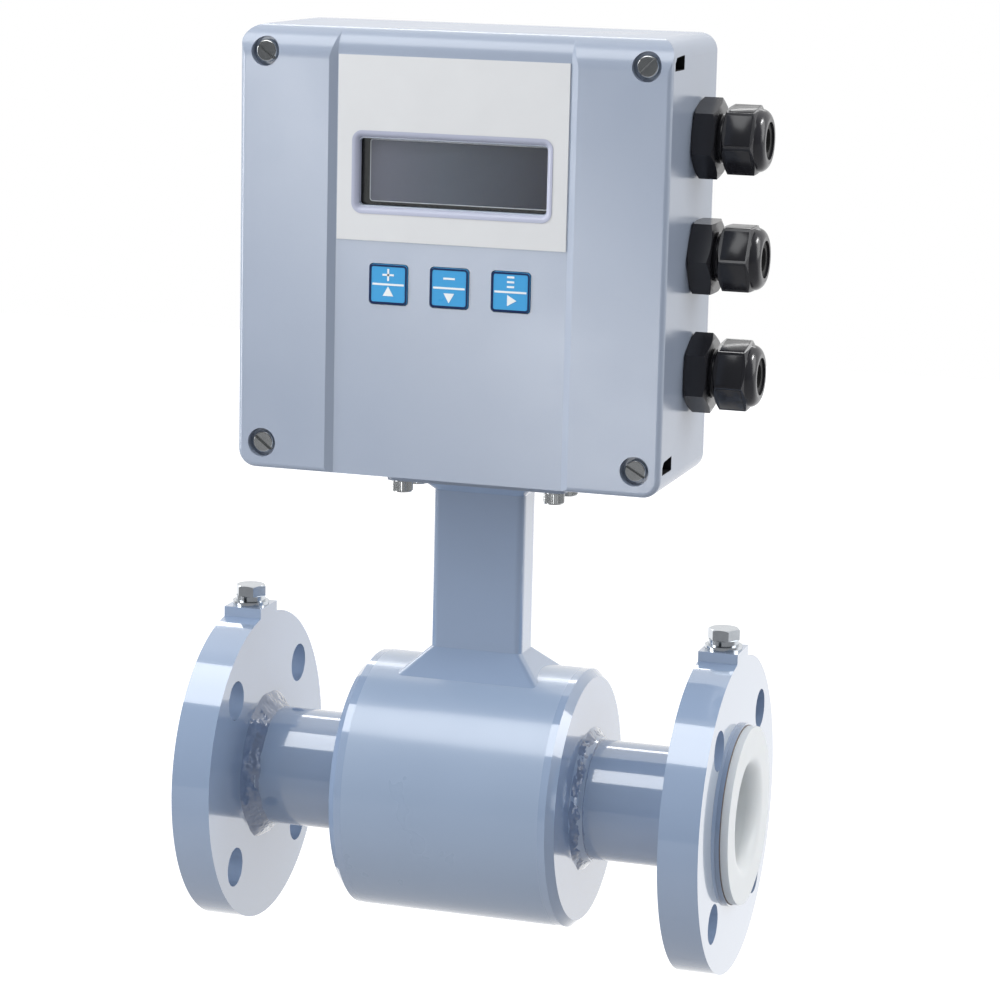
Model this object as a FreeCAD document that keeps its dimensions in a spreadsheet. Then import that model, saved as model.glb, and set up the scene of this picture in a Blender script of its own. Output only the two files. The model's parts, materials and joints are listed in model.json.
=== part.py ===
import FreeCAD, Part

import math
import os

import Sketcher

# Electromagnetic flow meter, flanged, with a transmitter box on a neck.
# Frame: origin at the centre of the flow bore under the neck, +X along the flow
# line, +Y from the front of the box to its rear, +Z up.  Lengths in millimetres.

SIZES = {
    # flow line: 1-1/2 inch class 150 plate flanges on a 48.3 mm tube
    "laying_length": 225.0,
    "flange_diameter": 127.0,
    "flange_thickness": 15.9,
    "raised_face_diameter": 73.0,
    "raised_face_height": 1.6,
    "bolt_circle": 98.4,
    "bolt_hole_diameter": 15.9,
    "bolt_count": 4,
    "tube_diameter": 48.3,
    "tube_wall": 2.8,
    "tube_setback": 0.5,
    "liner_bore": 38.0,
    "flare_diameter": 71.0,
    "flare_thickness": 3.3,
    "flare_lip_radius": 5.5,
    "flange_weld": 4.5,
    "weld_toe": 0.8,
    "weld_round": 1.3,
    "slip_fit": 0.1,
    # ground lugs on the flange rims
    "lug_width": 18.0,
    "lug_height": 3.5,
    "lug_root": 8.0,
    "ground_bolt_diameter": 6.35,
    "ground_bolt_reach": 11.0,
    "ground_head_flats": 11.1,
    "ground_head_height": 4.3,
    "head_crown": 0.6,
    "crown_reach": 1.2,
    "flat_washer_diameter": 14.8,
    "flat_washer_thickness": 1.6,
    "spring_washer_diameter": 12.0,
    "spring_washer_thickness": 2.2,
    "spring_washer_gap": 1.2,
    # coil housing
    "coil_housing_diameter": 104.0,
    "coil_housing_length": 93.0,
    "shell_wall": 3.0,
    "cap_thickness": 6.0,
    "cap_bevel": 3.0,
    "cap_spigot": 3.0,
    # neck
    "neck_width": 38.0,
    "neck_depth": 17.0,
    "neck_wall": 2.0,
    "neck_corner": 3.0,
    "neck_top": 126.0,
    "neck_foot": 44.0,
    "saddle_weld_width": 7.0,
    "saddle_weld_height": 6.5,
    "top_weld": 3.5,
    # mounting plate and its gasket
    "plate_width": 74.0,
    "plate_depth": 29.0,
    "plate_thickness": 6.5,
    "plate_corner": 3.0,
    "plate_gasket_thickness": 2.0,
    "plate_pad_extra": 2.0,
    "lead_opening_width": 28.0,
    "lead_opening_depth": 8.0,
    "plate_screw_spacing_x": 63.0,
    "plate_screw_spacing_y": 19.0,
    "plate_screw_diameter": 4.8,
    "plate_screw_reach": 6.0,
    "plate_screw_head": 7.9,
    "plate_screw_head_height": 4.8,
    "plate_screw_socket": 4.0,
    "plate_screw_socket_depth": 2.4,
    "tap_clearance": 0.05,
    "through_clearance": 0.3,
    # transmitter box
    "box_width": 170.0,
    "box_height": 171.0,
    "box_depth": 70.5,
    "box_rear": 18.0,
    "cover_depth": 17.2,
    "box_corner": 7.0,
    "base_wall": 4.0,
    "base_rear_edge": 3.0,
    "corner_block": 18.0,
    "cover_wall": 3.5,
    "cover_front_wall": 3.2,
    "cover_top_wall": 6.0,
    "cover_top_radius": 12.0,
    "cover_edge": 2.0,
    "panel_width": 92.0,
    "panel_recess": 1.8,
    "panel_slope": 3.0,
    "panel_fade": 0.3,
    "notch_length": 13.7,
    "notch_height": 5.5,
    "notch_drop": 1.5,
    "notch_chamfer": 2.0,
    "notch_slant": 0.6,
    "notch_into": 4.0,
    "base_gasket_inset": 1.8,
    "base_gasket_width": 2.2,
    "base_gasket_thickness": 1.2,
    # cover screws
    "cover_screw_inset": 10.0,
    "cover_screw_diameter": 5.0,
    "cover_screw_reach": 12.0,
    "cover_screw_head": 8.3,
    "cover_screw_head_height": 3.2,
    "cover_screw_slot": 1.3,
    "cover_screw_slot_depth": 1.4,
    "counterbore_diameter": 11.3,
    "counterbore_depth": 4.6,
    # label and display window
    "label_width": 91.2,
    "label_height": 70.0,
    "label_thickness": 0.5,
    "label_top": 10.0,
    "rim_width": 79.5,
    "rim_height": 31.5,
    "rim_corner": 4.0,
    "rim_depth": 1.4,
    "window_width": 74.4,
    "window_height": 25.4,
    "window_corner": 1.5,
    "window_drop": 54.0,
    "pane_margin": 2.5,
    "pane_thickness": 1.2,
    # display module and its board
    "lcd_frame_width": 97.0,
    "lcd_frame_height": 40.0,
    "lcd_frame_depth": 6.0,
    "lcd_view_width": 77.0,
    "lcd_view_height": 27.0,
    "lcd_glass_thickness": 1.2,
    "lcd_gap": 0.3,
    "display_board_width": 126.0,
    "display_board_height": 94.0,
    "display_board_drop": 65.0,
    "board_thickness": 1.6,
    "display_post_diameter": 8.0,
    "post_margin": 5.0,
    "board_screw_diameter": 3.0,
    "board_screw_head": 5.6,
    "board_screw_head_height": 2.0,
    "board_screw_reach": 5.0,
    # keys
    "key_opening": 15.8,
    "key_corner": 1.6,
    "key_clearance": 0.3,
    "key_pitch": 24.4,
    "key_drop": 96.4,
    "key_proud": 0.5,
    "key_flange": 1.4,
    "key_flange_thickness": 1.0,
    "key_rest_gap": 0.2,
    "key_edge": 0.5,
    "key_stem_diameter": 4.0,
    "key_travel": 0.8,
    "switch_size": 8.0,
    "switch_height": 3.5,
    "switch_well": 2.4,
    "switch_fit": 0.1,
    # main board
    "main_board_width": 128.0,
    "main_board_height": 126.0,
    "main_board_post": 8.0,
    "main_post_diameter": 8.0,
    "transformer_width": 46.0,
    "transformer_height": 40.0,
    "transformer_depth": 24.0,
    "terminal_height": 10.0,
    "terminal_depth": 11.0,
    "terminal_pitch": 5.08,
    "terminal_count": 16,
    "terminal_screw_share": 0.35,
    "capacitor_diameter": 16.0,
    "capacitor_length": 20.0,
    # cable glands
    "gland_pitch": 45.0,
    "gland_lift": 2.0,
    "gland_thread": 20.0,
    "gland_thread_reach": 12.0,
    "gland_body_flats": 27.0,
    "gland_body_length": 9.0,
    "gland_collar_diameter": 18.0,
    "gland_nut_start": 11.5,
    "gland_nut_flats": 24.0,
    "gland_nut_length": 16.0,
    "gland_nut_hex_length": 12.3,
    "gland_collar_reach": 8.0,
    "gland_seat_depth": 2.0,
    "gland_mouth": 14.4,
    "gland_lip": 1.5,
    "gland_dome_radius": 4.2,
    "gland_bore": 13.0,
    "gland_chamfer": 1.3,
    "seal_diameter": 14.0,
    "seal_bore": 9.0,
    "seal_length": 13.0,
    "locknut_flats": 26.0,
    "locknut_thickness": 4.0,
    # measuring parts inside the coil housing
    "electrode_diameter": 5.0,
    "electrode_head": 9.0,
    "electrode_head_thickness": 1.4,
    "electrode_reach": 12.0,
    "electrode_web": 1.05,
    "bush_diameter": 9.0,
    "bush_length": 4.0,
    "electrode_nut_flats": 8.0,
    "electrode_nut_thickness": 3.0,
    "coil_ring": 10.0,
    "coil_height": 7.0,
    "coil_seat": 2.0,
    "shoe_width": 30.0,
    "shoe_length": 38.0,
    "core_fit": 0.3,
    "yoke_diameter": 94.0,
    "yoke_wall": 2.0,
    "yoke_length": 60.0,
}

SLOT_ANGLES = {"top_left": -38.0, "top_right": 45.0, "bottom_left": -38.0, "bottom_right": -30.0}
GLAND_TURNS = {"top": 20.0, "middle": 3.0, "bottom": 28.0}
NORMALS = {"XY": "+Z", "XZ": "-Y", "YZ": "+X"}
HEX_CORNER = 1.0 / math.cos(math.radians(30.0))


class Size:
    """A length with its value in millimetres and the sheet expression that gives it."""

    def __init__(self, value, text):
        self.value = value
        self.text = text

    @staticmethod
    def of(item):
        return item if isinstance(item, Size) else Size(float(item), repr(float(item)))

    def join(self, other, sign, value):
        return Size(value, "(%s %s %s)" % (self.text, sign, other.text))

    def __add__(self, other):
        other = Size.of(other)
        return self.join(other, "+", self.value + other.value)

    def __sub__(self, other):
        other = Size.of(other)
        return self.join(other, "-", self.value - other.value)

    def __mul__(self, other):
        other = Size.of(other)
        return self.join(other, "*", self.value * other.value)

    def __truediv__(self, other):
        other = Size.of(other)
        return self.join(other, "/", self.value / other.value)

    def __neg__(self):
        return self * -1.0


ZERO = Size(0.0, "0")


class Sheet:
    """The sheet of driving sizes; its attributes give them as Size values."""

    def __init__(self, doc):
        self.table = doc.addObject("Spreadsheet::Sheet", "Sizes")
        for row, (alias, value) in enumerate(SIZES.items(), start=1):
            self.table.set("A%d" % row, alias)
            self.table.set("B%d" % row, str(value))
            self.table.setAlias("B%d" % row, alias)
        doc.recompute()

    def __getattr__(self, alias):
        return Size(float(SIZES[alias]), "Sizes." + alias)


class Outline:
    """A sketch on one of a body's origin planes, drawn from Size values."""

    def __init__(self, piece, plane, at):
        self.plane = plane
        self.sketch = piece.body.newObject("Sketcher::SketchObject", "Sketch")
        self.sketch.AttachmentSupport = (piece.origin_plane(plane + "_Plane"), [""])
        self.sketch.MapMode = "FlatFace"
        offset = -at if NORMALS[plane][0] == "-" else at
        self.sketch.setExpression("AttachmentOffset.Base.z", offset.text)

    def bind(self, kind, refs, size):
        """Add a driven dimension; a negative one is measured the other way round."""
        if size.value < 0.0 and kind != "Radius":
            refs = refs[2:] + refs[:2]
            size = -size
        number = self.sketch.addConstraint(Sketcher.Constraint(kind, *refs, size.value))
        self.sketch.setExpression("Constraints[%d]" % number, size.text)

    def place(self, geometry, point, across, up):
        """Fix one point of the sketch by its two distances from the origin."""
        for kind, size in (("DistanceX", across), ("DistanceY", up)):
            if abs(size.value) < 1e-9:
                axis = -2 if kind == "DistanceX" else -1
                on_axis = Sketcher.Constraint("PointOnObject", geometry, point, axis)
                self.sketch.addConstraint(on_axis)
            else:
                self.bind(kind, (-1, 1, geometry, point), size)

    def circle(self, across, up, radius):
        across, up = Size.of(across), Size.of(up)
        centre = FreeCAD.Vector(across.value, up.value, 0)
        shape = Part.Circle(centre, FreeCAD.Vector(0, 0, 1), radius.value)
        number = self.sketch.addGeometry(shape, False)
        self.place(number, 3, across, up)
        self.bind("Radius", (number,), radius)
        return self

    def path(self, steps, closed=True):
        """Draw straight steps (u, v) and arc steps (u, v, radius, turn).

        turn is +1 where the arc bends to the left on its way to the point.
        """
        points = [(Size.of(step[0]), Size.of(step[1])) for step in steps]
        places = [FreeCAD.Vector(u.value, v.value, 0) for u, v in points]
        count = len(steps)
        spans = count if closed else count - 1
        ends = []
        for index in range(spans):
            first, last = places[index], places[(index + 1) % count]
            step = steps[(index + 1) % count]
            if len(step) == 2:
                number = self.sketch.addGeometry(Part.LineSegment(first, last), False)
                ends.append((number, 1, 2))
            else:
                number = self.sketch.addGeometry(arc_between(first, last, step[2], step[3]), False)
                self.bind("Radius", (number,), step[2])
                ends.append((number, 1, 2) if step[3] > 0 else (number, 2, 1))
        for index in range(spans):
            number, begin, _ = ends[index]
            before, _, finish = ends[index - 1]
            if closed or index > 0:
                joint = Sketcher.Constraint("Coincident", before, finish, number, begin)
                self.sketch.addConstraint(joint)
            self.place(number, begin, *points[index])
        if not closed:
            number, _, finish = ends[-1]
            self.place(number, finish, *points[-1])
        return self

    def box(self, width, height, across=ZERO, up=ZERO, corner=None):
        """A rectangle about a centre, with rounded corners if a radius is given."""
        left, right = across - width / 2, across + width / 2
        low, high = up - height / 2, up + height / 2
        if corner is None:
            return self.path([(left, low), (right, low), (right, high), (left, high)])
        steps = [
            (left + corner, low, corner, 1),
            (right - corner, low),
            (right, low + corner, corner, 1),
            (right, high - corner),
            (right - corner, high, corner, 1),
            (left + corner, high),
            (left, high - corner, corner, 1),
            (left, low + corner),
        ]
        return self.path(steps)

    def hexagon(self, flats, turn=0.0, across=ZERO, up=ZERO):
        """A regular hexagon by its width across flats, turned by an angle."""
        steps = []
        for number in range(6):
            angle = math.radians(turn + 60.0 * number)
            reach = flats / 2 * HEX_CORNER
            steps.append((across + reach * math.cos(angle), up + reach * math.sin(angle)))
        return self.path(steps)


def arc_between(first, last, radius, turn):
    """The short arc from first to last with a radius, bending left for turn +1."""
    chord = last - first
    rise = math.sqrt(max(radius.value ** 2 - (chord.Length / 2) ** 2, 0.0))
    side = FreeCAD.Vector(-chord.y, chord.x, 0).normalize() * turn
    centre = first + chord * 0.5 + side * rise
    begin, end = (first, last) if turn > 0 else (last, first)
    start = math.atan2(begin.y - centre.y, begin.x - centre.x)
    stop = math.atan2(end.y - centre.y, end.x - centre.x)
    if stop < start:
        stop += math.tau
    full = Part.Circle(centre, FreeCAD.Vector(0, 0, 1), radius.value)
    return Part.ArcOfCircle(full, start, stop)


class Piece:
    """One PartDesign body, which is one sub-part of the meter."""

    def __init__(self, doc, name):
        self.doc = doc
        self.body = doc.addObject("PartDesign::Body", name)
        self.body.Label = name

    def origin_plane(self, role):
        return next(item for item in self.body.Origin.OriginFeatures if item.Role == role)

    def on(self, plane, at=ZERO):
        return Outline(self, plane, Size.of(at))

    def feature(self, kind, name, outline):
        made = self.body.newObject(kind, name)
        made.Profile = outline.sketch
        outline.sketch.Visibility = False
        return made

    def pad(self, outline, length, toward):
        """Push a profile out along a signed axis such as "+Z"."""
        made = self.feature("PartDesign::Pad", "Pad", outline)
        made.setExpression("Length", Size.of(length).text)
        made.Reversed = toward != NORMALS[outline.plane]
        return self

    def pocket(self, outline, length, toward):
        """Cut a profile along a signed axis such as "+Z"."""
        made = self.feature("PartDesign::Pocket", "Pocket", outline)
        made.setExpression("Length", Size.of(length).text)
        made.Reversed = toward == NORMALS[outline.plane]
        return self

    def turn(self, outline, axis, cut=False):
        """Revolve or groove a profile through a full turn about a sketch axis."""
        kind = "PartDesign::Groove" if cut else "PartDesign::Revolution"
        made = self.feature(kind, "Turned", outline)
        made.ReferenceAxis = (outline.sketch, [axis])
        made.Angle = 360.0
        return self

    def loft(self, first, last):
        """Skin from one profile to another on a parallel plane."""
        made = self.feature("PartDesign::AdditiveLoft", "Loft", first)
        made.Sections = [last.sketch]
        last.sketch.Visibility = False
        return self

    def sweep_cut(self, profile, spine):
        """Cut with a profile carried along an open spine."""
        made = self.feature("PartDesign::SubtractivePipe", "Swept", profile)
        made.Spine = spine.sketch
        spine.sketch.Visibility = False
        return self

    def ring_of(self, role, count):
        """Repeat the last cut round an origin axis."""
        cut = self.body.Tip
        made = self.body.newObject("PartDesign::PolarPattern", "Ring")
        made.Originals = [cut]
        made.Axis = (self.origin_plane(role), [""])
        made.Angle = 360.0
        made.setExpression("Occurrences", count.text)
        self.body.Tip = made
        return self

    def row_of(self, role, length, count):
        """Repeat the last feature along an origin axis over a whole length."""
        cut = self.body.Tip
        made = self.body.newObject("PartDesign::LinearPattern", "Row")
        made.Originals = [cut]
        made.Direction = (self.origin_plane(role), [""])
        made.setExpression("Length", Size.of(length).text)
        made.setExpression("Occurrences", Size.of(count).text)
        self.body.Tip = made
        return self

    def edges(self, test):
        self.doc.recompute()
        shape = self.body.Tip.Shape
        return ["Edge%d" % (n + 1) for n, edge in enumerate(shape.Edges) if test(edge)]

    def dress(self, kind, radius, test):
        """Fillet or chamfer the edges of the last feature that pass a test."""
        names = self.edges(test)
        base = self.body.Tip
        made = self.body.newObject("PartDesign::" + kind, kind)
        made.Base = (base, names)
        self.body.Tip = made
        made.setExpression("Radius" if kind == "Fillet" else "Size", radius.text)
        return self

    def put(self, across=ZERO, back=ZERO, up=ZERO):
        for axis, size in (("x", across), ("y", back), ("z", up)):
            self.body.setExpression("Placement.Base." + axis, Size.of(size).text)
        return self

    def face_about(self):
        """Turn the piece half round the neck axis, for the inlet side."""
        axis = FreeCAD.Vector(0, 0, 1)
        self.body.Placement = FreeCAD.Placement(FreeCAD.Vector(), FreeCAD.Rotation(axis, 180))
        return self


def group(doc, name, pieces):
    """Gather like fasteners into one sub-part of separate solids."""
    made = doc.addObject("Part::Compound", name)
    made.Label = name
    made.Links = [piece.body for piece in pieces]
    return made


class Meter:
    """Builds every sub-part of the meter from the sheet."""

    def __init__(self, doc):
        self.doc = doc
        self.s = Sheet(doc)
        self.parts = []
        self.derive()

    def derive(self):
        """Work out the places that several sub-parts share."""
        s = self.s
        self.half = s.laying_length / 2
        self.seal_face = self.half - s.flare_thickness
        self.flange_face = self.seal_face - s.raised_face_height
        self.flange_back = self.flange_face - s.flange_thickness
        self.tube_radius = s.tube_diameter / 2
        self.tube_inner = self.tube_radius - s.tube_wall
        self.lug_top = s.flange_diameter / 2 + s.lug_height
        self.lug_middle = self.flange_face - s.flange_thickness / 2
        self.cap_inside = s.coil_housing_length / 2 - s.cap_thickness
        self.shell_radius = s.coil_housing_diameter / 2
        self.shell_inner = self.shell_radius - s.shell_wall
        self.box_bottom = s.neck_top + s.plate_thickness + s.plate_gasket_thickness
        self.box_top = self.box_bottom + s.box_height
        self.box_middle = self.box_bottom + s.box_height / 2
        self.front = s.box_rear - s.box_depth
        self.seam = self.front + s.cover_depth
        self.panel = self.front + s.panel_recess
        self.cover_inside = self.panel + s.cover_front_wall
        self.floor = s.box_rear - s.base_wall
        self.gland_back = (self.seam + s.box_rear) / 2
        self.window_up = self.box_top - s.window_drop
        self.key_up = self.box_top - s.key_drop
        self.side = s.box_width / 2
        self.screw_across = self.side - s.cover_screw_inset
        self.screw_up = s.box_height / 2 - s.cover_screw_inset
        self.lcd_front = self.cover_inside + s.pane_thickness + s.lcd_gap
        self.board_front = self.lcd_front + s.lcd_frame_depth
        self.main_front = self.floor - s.main_board_post - s.board_thickness
        self.electrode_seat = self.tube_inner - s.slip_fit - s.electrode_web

    def piece(self, name):
        made = Piece(self.doc, name)
        self.parts.append(made.body)
        return made

    def loose(self, name):
        return Piece(self.doc, name)

    def gather(self, name, pieces):
        self.parts.append(group(self.doc, name, pieces))

    # flow line

    def flow_tube(self):
        s = self.s
        made = self.piece("flow_tube")
        reach = self.seal_face - s.tube_setback
        ring = made.on("YZ", -reach).circle(0, 0, self.tube_radius).circle(0, 0, self.tube_inner)
        made.pad(ring, reach * 2, "+X")
        hole = made.on("XZ", -self.tube_radius).circle(0, 0, s.bush_diameter / 2 + s.slip_fit)
        made.pocket(hole, s.tube_diameter, "+Y")

    def flange(self, name, inlet):
        """A plate flange with its raised face, weld bead and ground lug."""
        s = self.s
        made = self.piece(name)
        bore = self.tube_radius + s.slip_fit
        rim = s.flange_diameter / 2
        raised = s.raised_face_diameter / 2
        back = self.flange_back
        toe = bore + s.weld_toe
        made.turn(made.on("XZ").path([
            (back - s.flange_weld, bore),
            (self.seal_face, bore),
            (self.seal_face, raised),
            (self.flange_face, raised),
            (self.flange_face, rim),
            (back, rim),
            (back, bore + s.flange_weld),
            (back - s.flange_weld, toe, s.flange_weld * s.weld_round, -1),
        ]), "H_Axis")
        height = s.lug_height + s.lug_root
        lug = made.on("YZ", back).box(s.lug_width, height, ZERO, self.lug_top - height / 2)
        made.pad(lug, s.flange_thickness, "+X")
        tapped = made.on("XY", self.lug_top)
        tapped.circle(self.lug_middle, 0, s.ground_bolt_diameter / 2 + s.tap_clearance)
        made.pocket(tapped, s.ground_bolt_reach + s.through_clearance, "-Z")
        offset = s.bolt_circle / 2 * math.cos(math.radians(45.0))
        hole = made.on("YZ", back).circle(offset, offset, s.bolt_hole_diameter / 2)
        made.pocket(hole, s.flange_thickness, "+X")
        made.ring_of("X_Axis", s.bolt_count)
        if inlet:
            made.face_about()

    def liner(self):
        """The lining tube, flared out over both raised faces."""
        s = self.s
        made = self.piece("liner")
        outer = self.tube_inner - s.slip_fit
        inner = s.liner_bore / 2
        flare = s.flare_diameter / 2
        lip = s.flare_lip_radius
        made.turn(made.on("XZ").path([
            (-self.half, flare),
            (-self.half, inner + lip),
            (lip - self.half, inner, lip, 1),
            (self.half - lip, inner),
            (self.half, inner + lip, lip, 1),
            (self.half, flare),
            (self.seal_face, flare),
            (self.seal_face, outer),
            (-self.seal_face, outer),
            (-self.seal_face, flare),
        ]), "H_Axis")
        hole = made.on("XZ", -outer).circle(0, 0, s.electrode_diameter / 2 + s.slip_fit)
        made.pocket(hole, outer * 2, "+Y")
        seat = made.on("XZ", -self.electrode_seat)
        seat.circle(0, 0, s.electrode_head / 2 + s.slip_fit)
        made.pocket(seat, self.electrode_seat * 2, "+Y")

    def ground_fasteners(self):
        """Hex bolt, spring washer and flat washer on each ground lug."""
        s = self.s
        bolts, springs, flats = [], [], []
        shank = s.ground_bolt_diameter / 2
        for side in (1.0, -1.0):
            across = self.lug_middle * side
            flat_top = self.lug_top + s.flat_washer_thickness
            spring_top = flat_top + s.spring_washer_thickness
            washer = self.loose("flat_washer")
            ring = washer.on("XY", self.lug_top)
            ring.circle(across, 0, s.flat_washer_diameter / 2).circle(across, 0, shank + s.slip_fit)
            washer.pad(ring, s.flat_washer_thickness, "+Z")
            flats.append(washer)
            spring = self.loose("spring_washer")
            ring = spring.on("XY", flat_top)
            ring.circle(across, 0, s.spring_washer_diameter / 2)
            ring.circle(across, 0, shank + s.slip_fit)
            spring.pad(ring, s.spring_washer_thickness, "+Z")
            cut = spring.on("XY", flat_top)
            cut.box(s.spring_washer_gap, s.spring_washer_diameter / 2, across,
                    -s.spring_washer_diameter / 4 - shank / 4)
            spring.pocket(cut, s.spring_washer_thickness, "+Z")
            springs.append(spring)
            bolt = self.loose("ground_bolt")
            bolt.turn(bolt.on("XZ").path([
                (ZERO, self.lug_top - s.ground_bolt_reach),
                (shank, self.lug_top - s.ground_bolt_reach),
                (shank, spring_top + s.ground_head_height / 2),
                (ZERO, spring_top + s.ground_head_height / 2),
            ]), "V_Axis")
            bolt.pad(bolt.on("XY", spring_top).hexagon(s.ground_head_flats), s.ground_head_height, "+Z")
            top = spring_top + s.ground_head_height
            flat = s.ground_head_flats / 2
            bolt.turn(bolt.on("XZ").path([
                (flat, top),
                (flat * s.crown_reach, top - s.head_crown),
                (flat * s.crown_reach, top),
            ]), "V_Axis", cut=True)
            bolt.put(across)
            bolts.append(bolt)
        self.gather("ground_bolts", bolts)
        self.gather("spring_washers", springs)
        self.gather("flat_washers", flats)

    # coil housing and neck

    def coil_shell(self):
        s = self.s
        made = self.piece("coil_shell")
        ring = made.on("YZ", -self.cap_inside)
        ring.circle(0, 0, self.shell_radius).circle(0, 0, self.shell_inner)
        made.pad(ring, self.cap_inside * 2, "+X")
        slot = made.on("XY", self.shell_radius).box(s.lead_opening_width, s.lead_opening_depth)
        made.pocket(slot, self.shell_radius - s.yoke_diameter / 2, "-Z")

    def end_cap(self, name, inlet):
        """A bevelled end disc with a spigot inside the shell and a weld at the tube."""
        s = self.s
        made = self.piece(name)
        bore = self.tube_radius + s.slip_fit
        face = s.coil_housing_length / 2
        spigot = self.shell_inner - s.slip_fit
        made.turn(made.on("XZ").path([
            (self.cap_inside - s.cap_spigot, bore),
            (face + s.flange_weld, bore),
            (face + s.flange_weld, bore + s.weld_toe),
            (face, bore + s.flange_weld, s.flange_weld * s.weld_round, -1),
            (face, self.shell_radius - s.cap_bevel),
            (face - s.cap_bevel, self.shell_radius),
            (self.cap_inside, self.shell_radius),
            (self.cap_inside, spigot),
            (self.cap_inside - s.cap_spigot, spigot),
        ]), "H_Axis")
        if inlet:
            made.face_about()

    def neck(self):
        """The rectangular neck with its weld collars, saddled on the coil housing."""
        s = self.s
        made = self.piece("neck")
        foot_top = self.shell_radius + s.saddle_weld_height
        spread = s.saddle_weld_width * (foot_top - s.neck_foot) / s.saddle_weld_height * 2
        outer = made.on("XY", s.neck_foot)
        outer.box(s.neck_width, s.neck_depth, ZERO, ZERO, s.neck_corner)
        made.pad(outer, s.neck_top - s.neck_foot, "+Z")
        low = made.on("XY", s.neck_foot)
        low.box(s.neck_width + spread, s.neck_depth + spread, ZERO, ZERO, s.neck_corner)
        ridge = made.on("XY", foot_top)
        ridge.box(s.neck_width, s.neck_depth, ZERO, ZERO, s.neck_corner)
        made.loft(low, ridge)
        under = made.on("XY", s.neck_top - s.top_weld)
        under.box(s.neck_width, s.neck_depth, ZERO, ZERO, s.neck_corner)
        high = made.on("XY", s.neck_top)
        high.box(s.neck_width + s.top_weld * 2, s.neck_depth + s.top_weld * 2, ZERO, ZERO, s.neck_corner)
        made.loft(under, high)
        inside = made.on("XY", s.neck_foot)
        inside.box(s.neck_width - s.neck_wall * 2, s.neck_depth - s.neck_wall * 2)
        made.pocket(inside, s.neck_top - s.neck_foot, "+Z")
        reach = s.neck_width
        made.turn(made.on("XZ").path([
            (-reach, ZERO),
            (reach, ZERO),
            (reach, self.shell_radius),
            (-reach, self.shell_radius),
        ]), "H_Axis", cut=True)

    def plate_outline(self, made, at, holes):
        """The plate's outline with its lead opening and four screw holes."""
        s = self.s
        face = made.on("XY", at)
        face.box(s.plate_width, s.plate_depth, ZERO, ZERO, s.plate_corner)
        face.box(s.lead_opening_width, s.lead_opening_depth)
        for across, back in self.plate_screw_places():
            face.circle(across, back, holes)
        return face

    def plate_screw_places(self):
        s = self.s
        across, back = s.plate_screw_spacing_x / 2, s.plate_screw_spacing_y / 2
        return [(-across, -back), (across, -back), (-across, back), (across, back)]

    def neck_plate(self):
        s = self.s
        made = self.piece("neck_plate")
        hole = s.plate_screw_diameter / 2 + s.through_clearance
        made.pad(self.plate_outline(made, s.neck_top, hole), s.plate_thickness, "+Z")

    def neck_gasket(self):
        s = self.s
        made = self.piece("neck_gasket")
        hole = s.plate_screw_diameter / 2 + s.through_clearance
        at = s.neck_top + s.plate_thickness
        made.pad(self.plate_outline(made, at, hole), s.plate_gasket_thickness, "+Z")

    def plate_screws(self):
        """Socket head screws that hold the plate up against the box."""
        s = self.s
        screws = []
        tip = self.box_bottom + s.plate_screw_reach
        head = s.neck_top - s.plate_screw_head_height
        for across, back in self.plate_screw_places():
            screw = self.loose("plate_screw")
            screw.turn(screw.on("XZ").path([
                (ZERO, head),
                (s.plate_screw_head / 2, head),
                (s.plate_screw_head / 2, s.neck_top),
                (s.plate_screw_diameter / 2, s.neck_top),
                (s.plate_screw_diameter / 2, tip),
                (ZERO, tip),
            ]), "V_Axis")
            socket = screw.on("XY", head).hexagon(s.plate_screw_socket)
            screw.pocket(socket, s.plate_screw_socket_depth, "+Z")
            screw.put(across, back)
            screws.append(screw)
        self.gather("plate_screws", screws)

    # transmitter box

    def notched(self, outline, inset_side, inset_top, inset_bottom):
        """A cavity outline that leaves a square block in each corner."""
        s = self.s
        side = self.side - inset_side
        top = self.box_top - inset_top
        low = self.box_bottom + inset_bottom
        block = s.corner_block
        step_side = self.side - block
        step_top, step_low = self.box_top - block, self.box_bottom + block
        return outline.path([
            (-step_side, low),
            (step_side, low),
            (step_side, step_low),
            (side, step_low),
            (side, step_top),
            (step_side, step_top),
            (step_side, top),
            (-step_side, top),
            (-step_side, step_top),
            (-side, step_top),
            (-side, step_low),
            (-step_side, step_low),
        ])

    def cover_screw_places(self):
        """Corner names with their places across and up."""
        right, left = self.screw_across, -self.screw_across
        top, low = self.box_middle + self.screw_up, self.box_middle - self.screw_up
        return {
            "top_left": (left, top),
            "top_right": (right, top),
            "bottom_left": (left, low),
            "bottom_right": (right, low),
        }

    def gland_places(self):
        s = self.s
        level = self.box_middle + s.gland_lift
        return {"top": level + s.gland_pitch, "middle": level, "bottom": level - s.gland_pitch}

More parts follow.
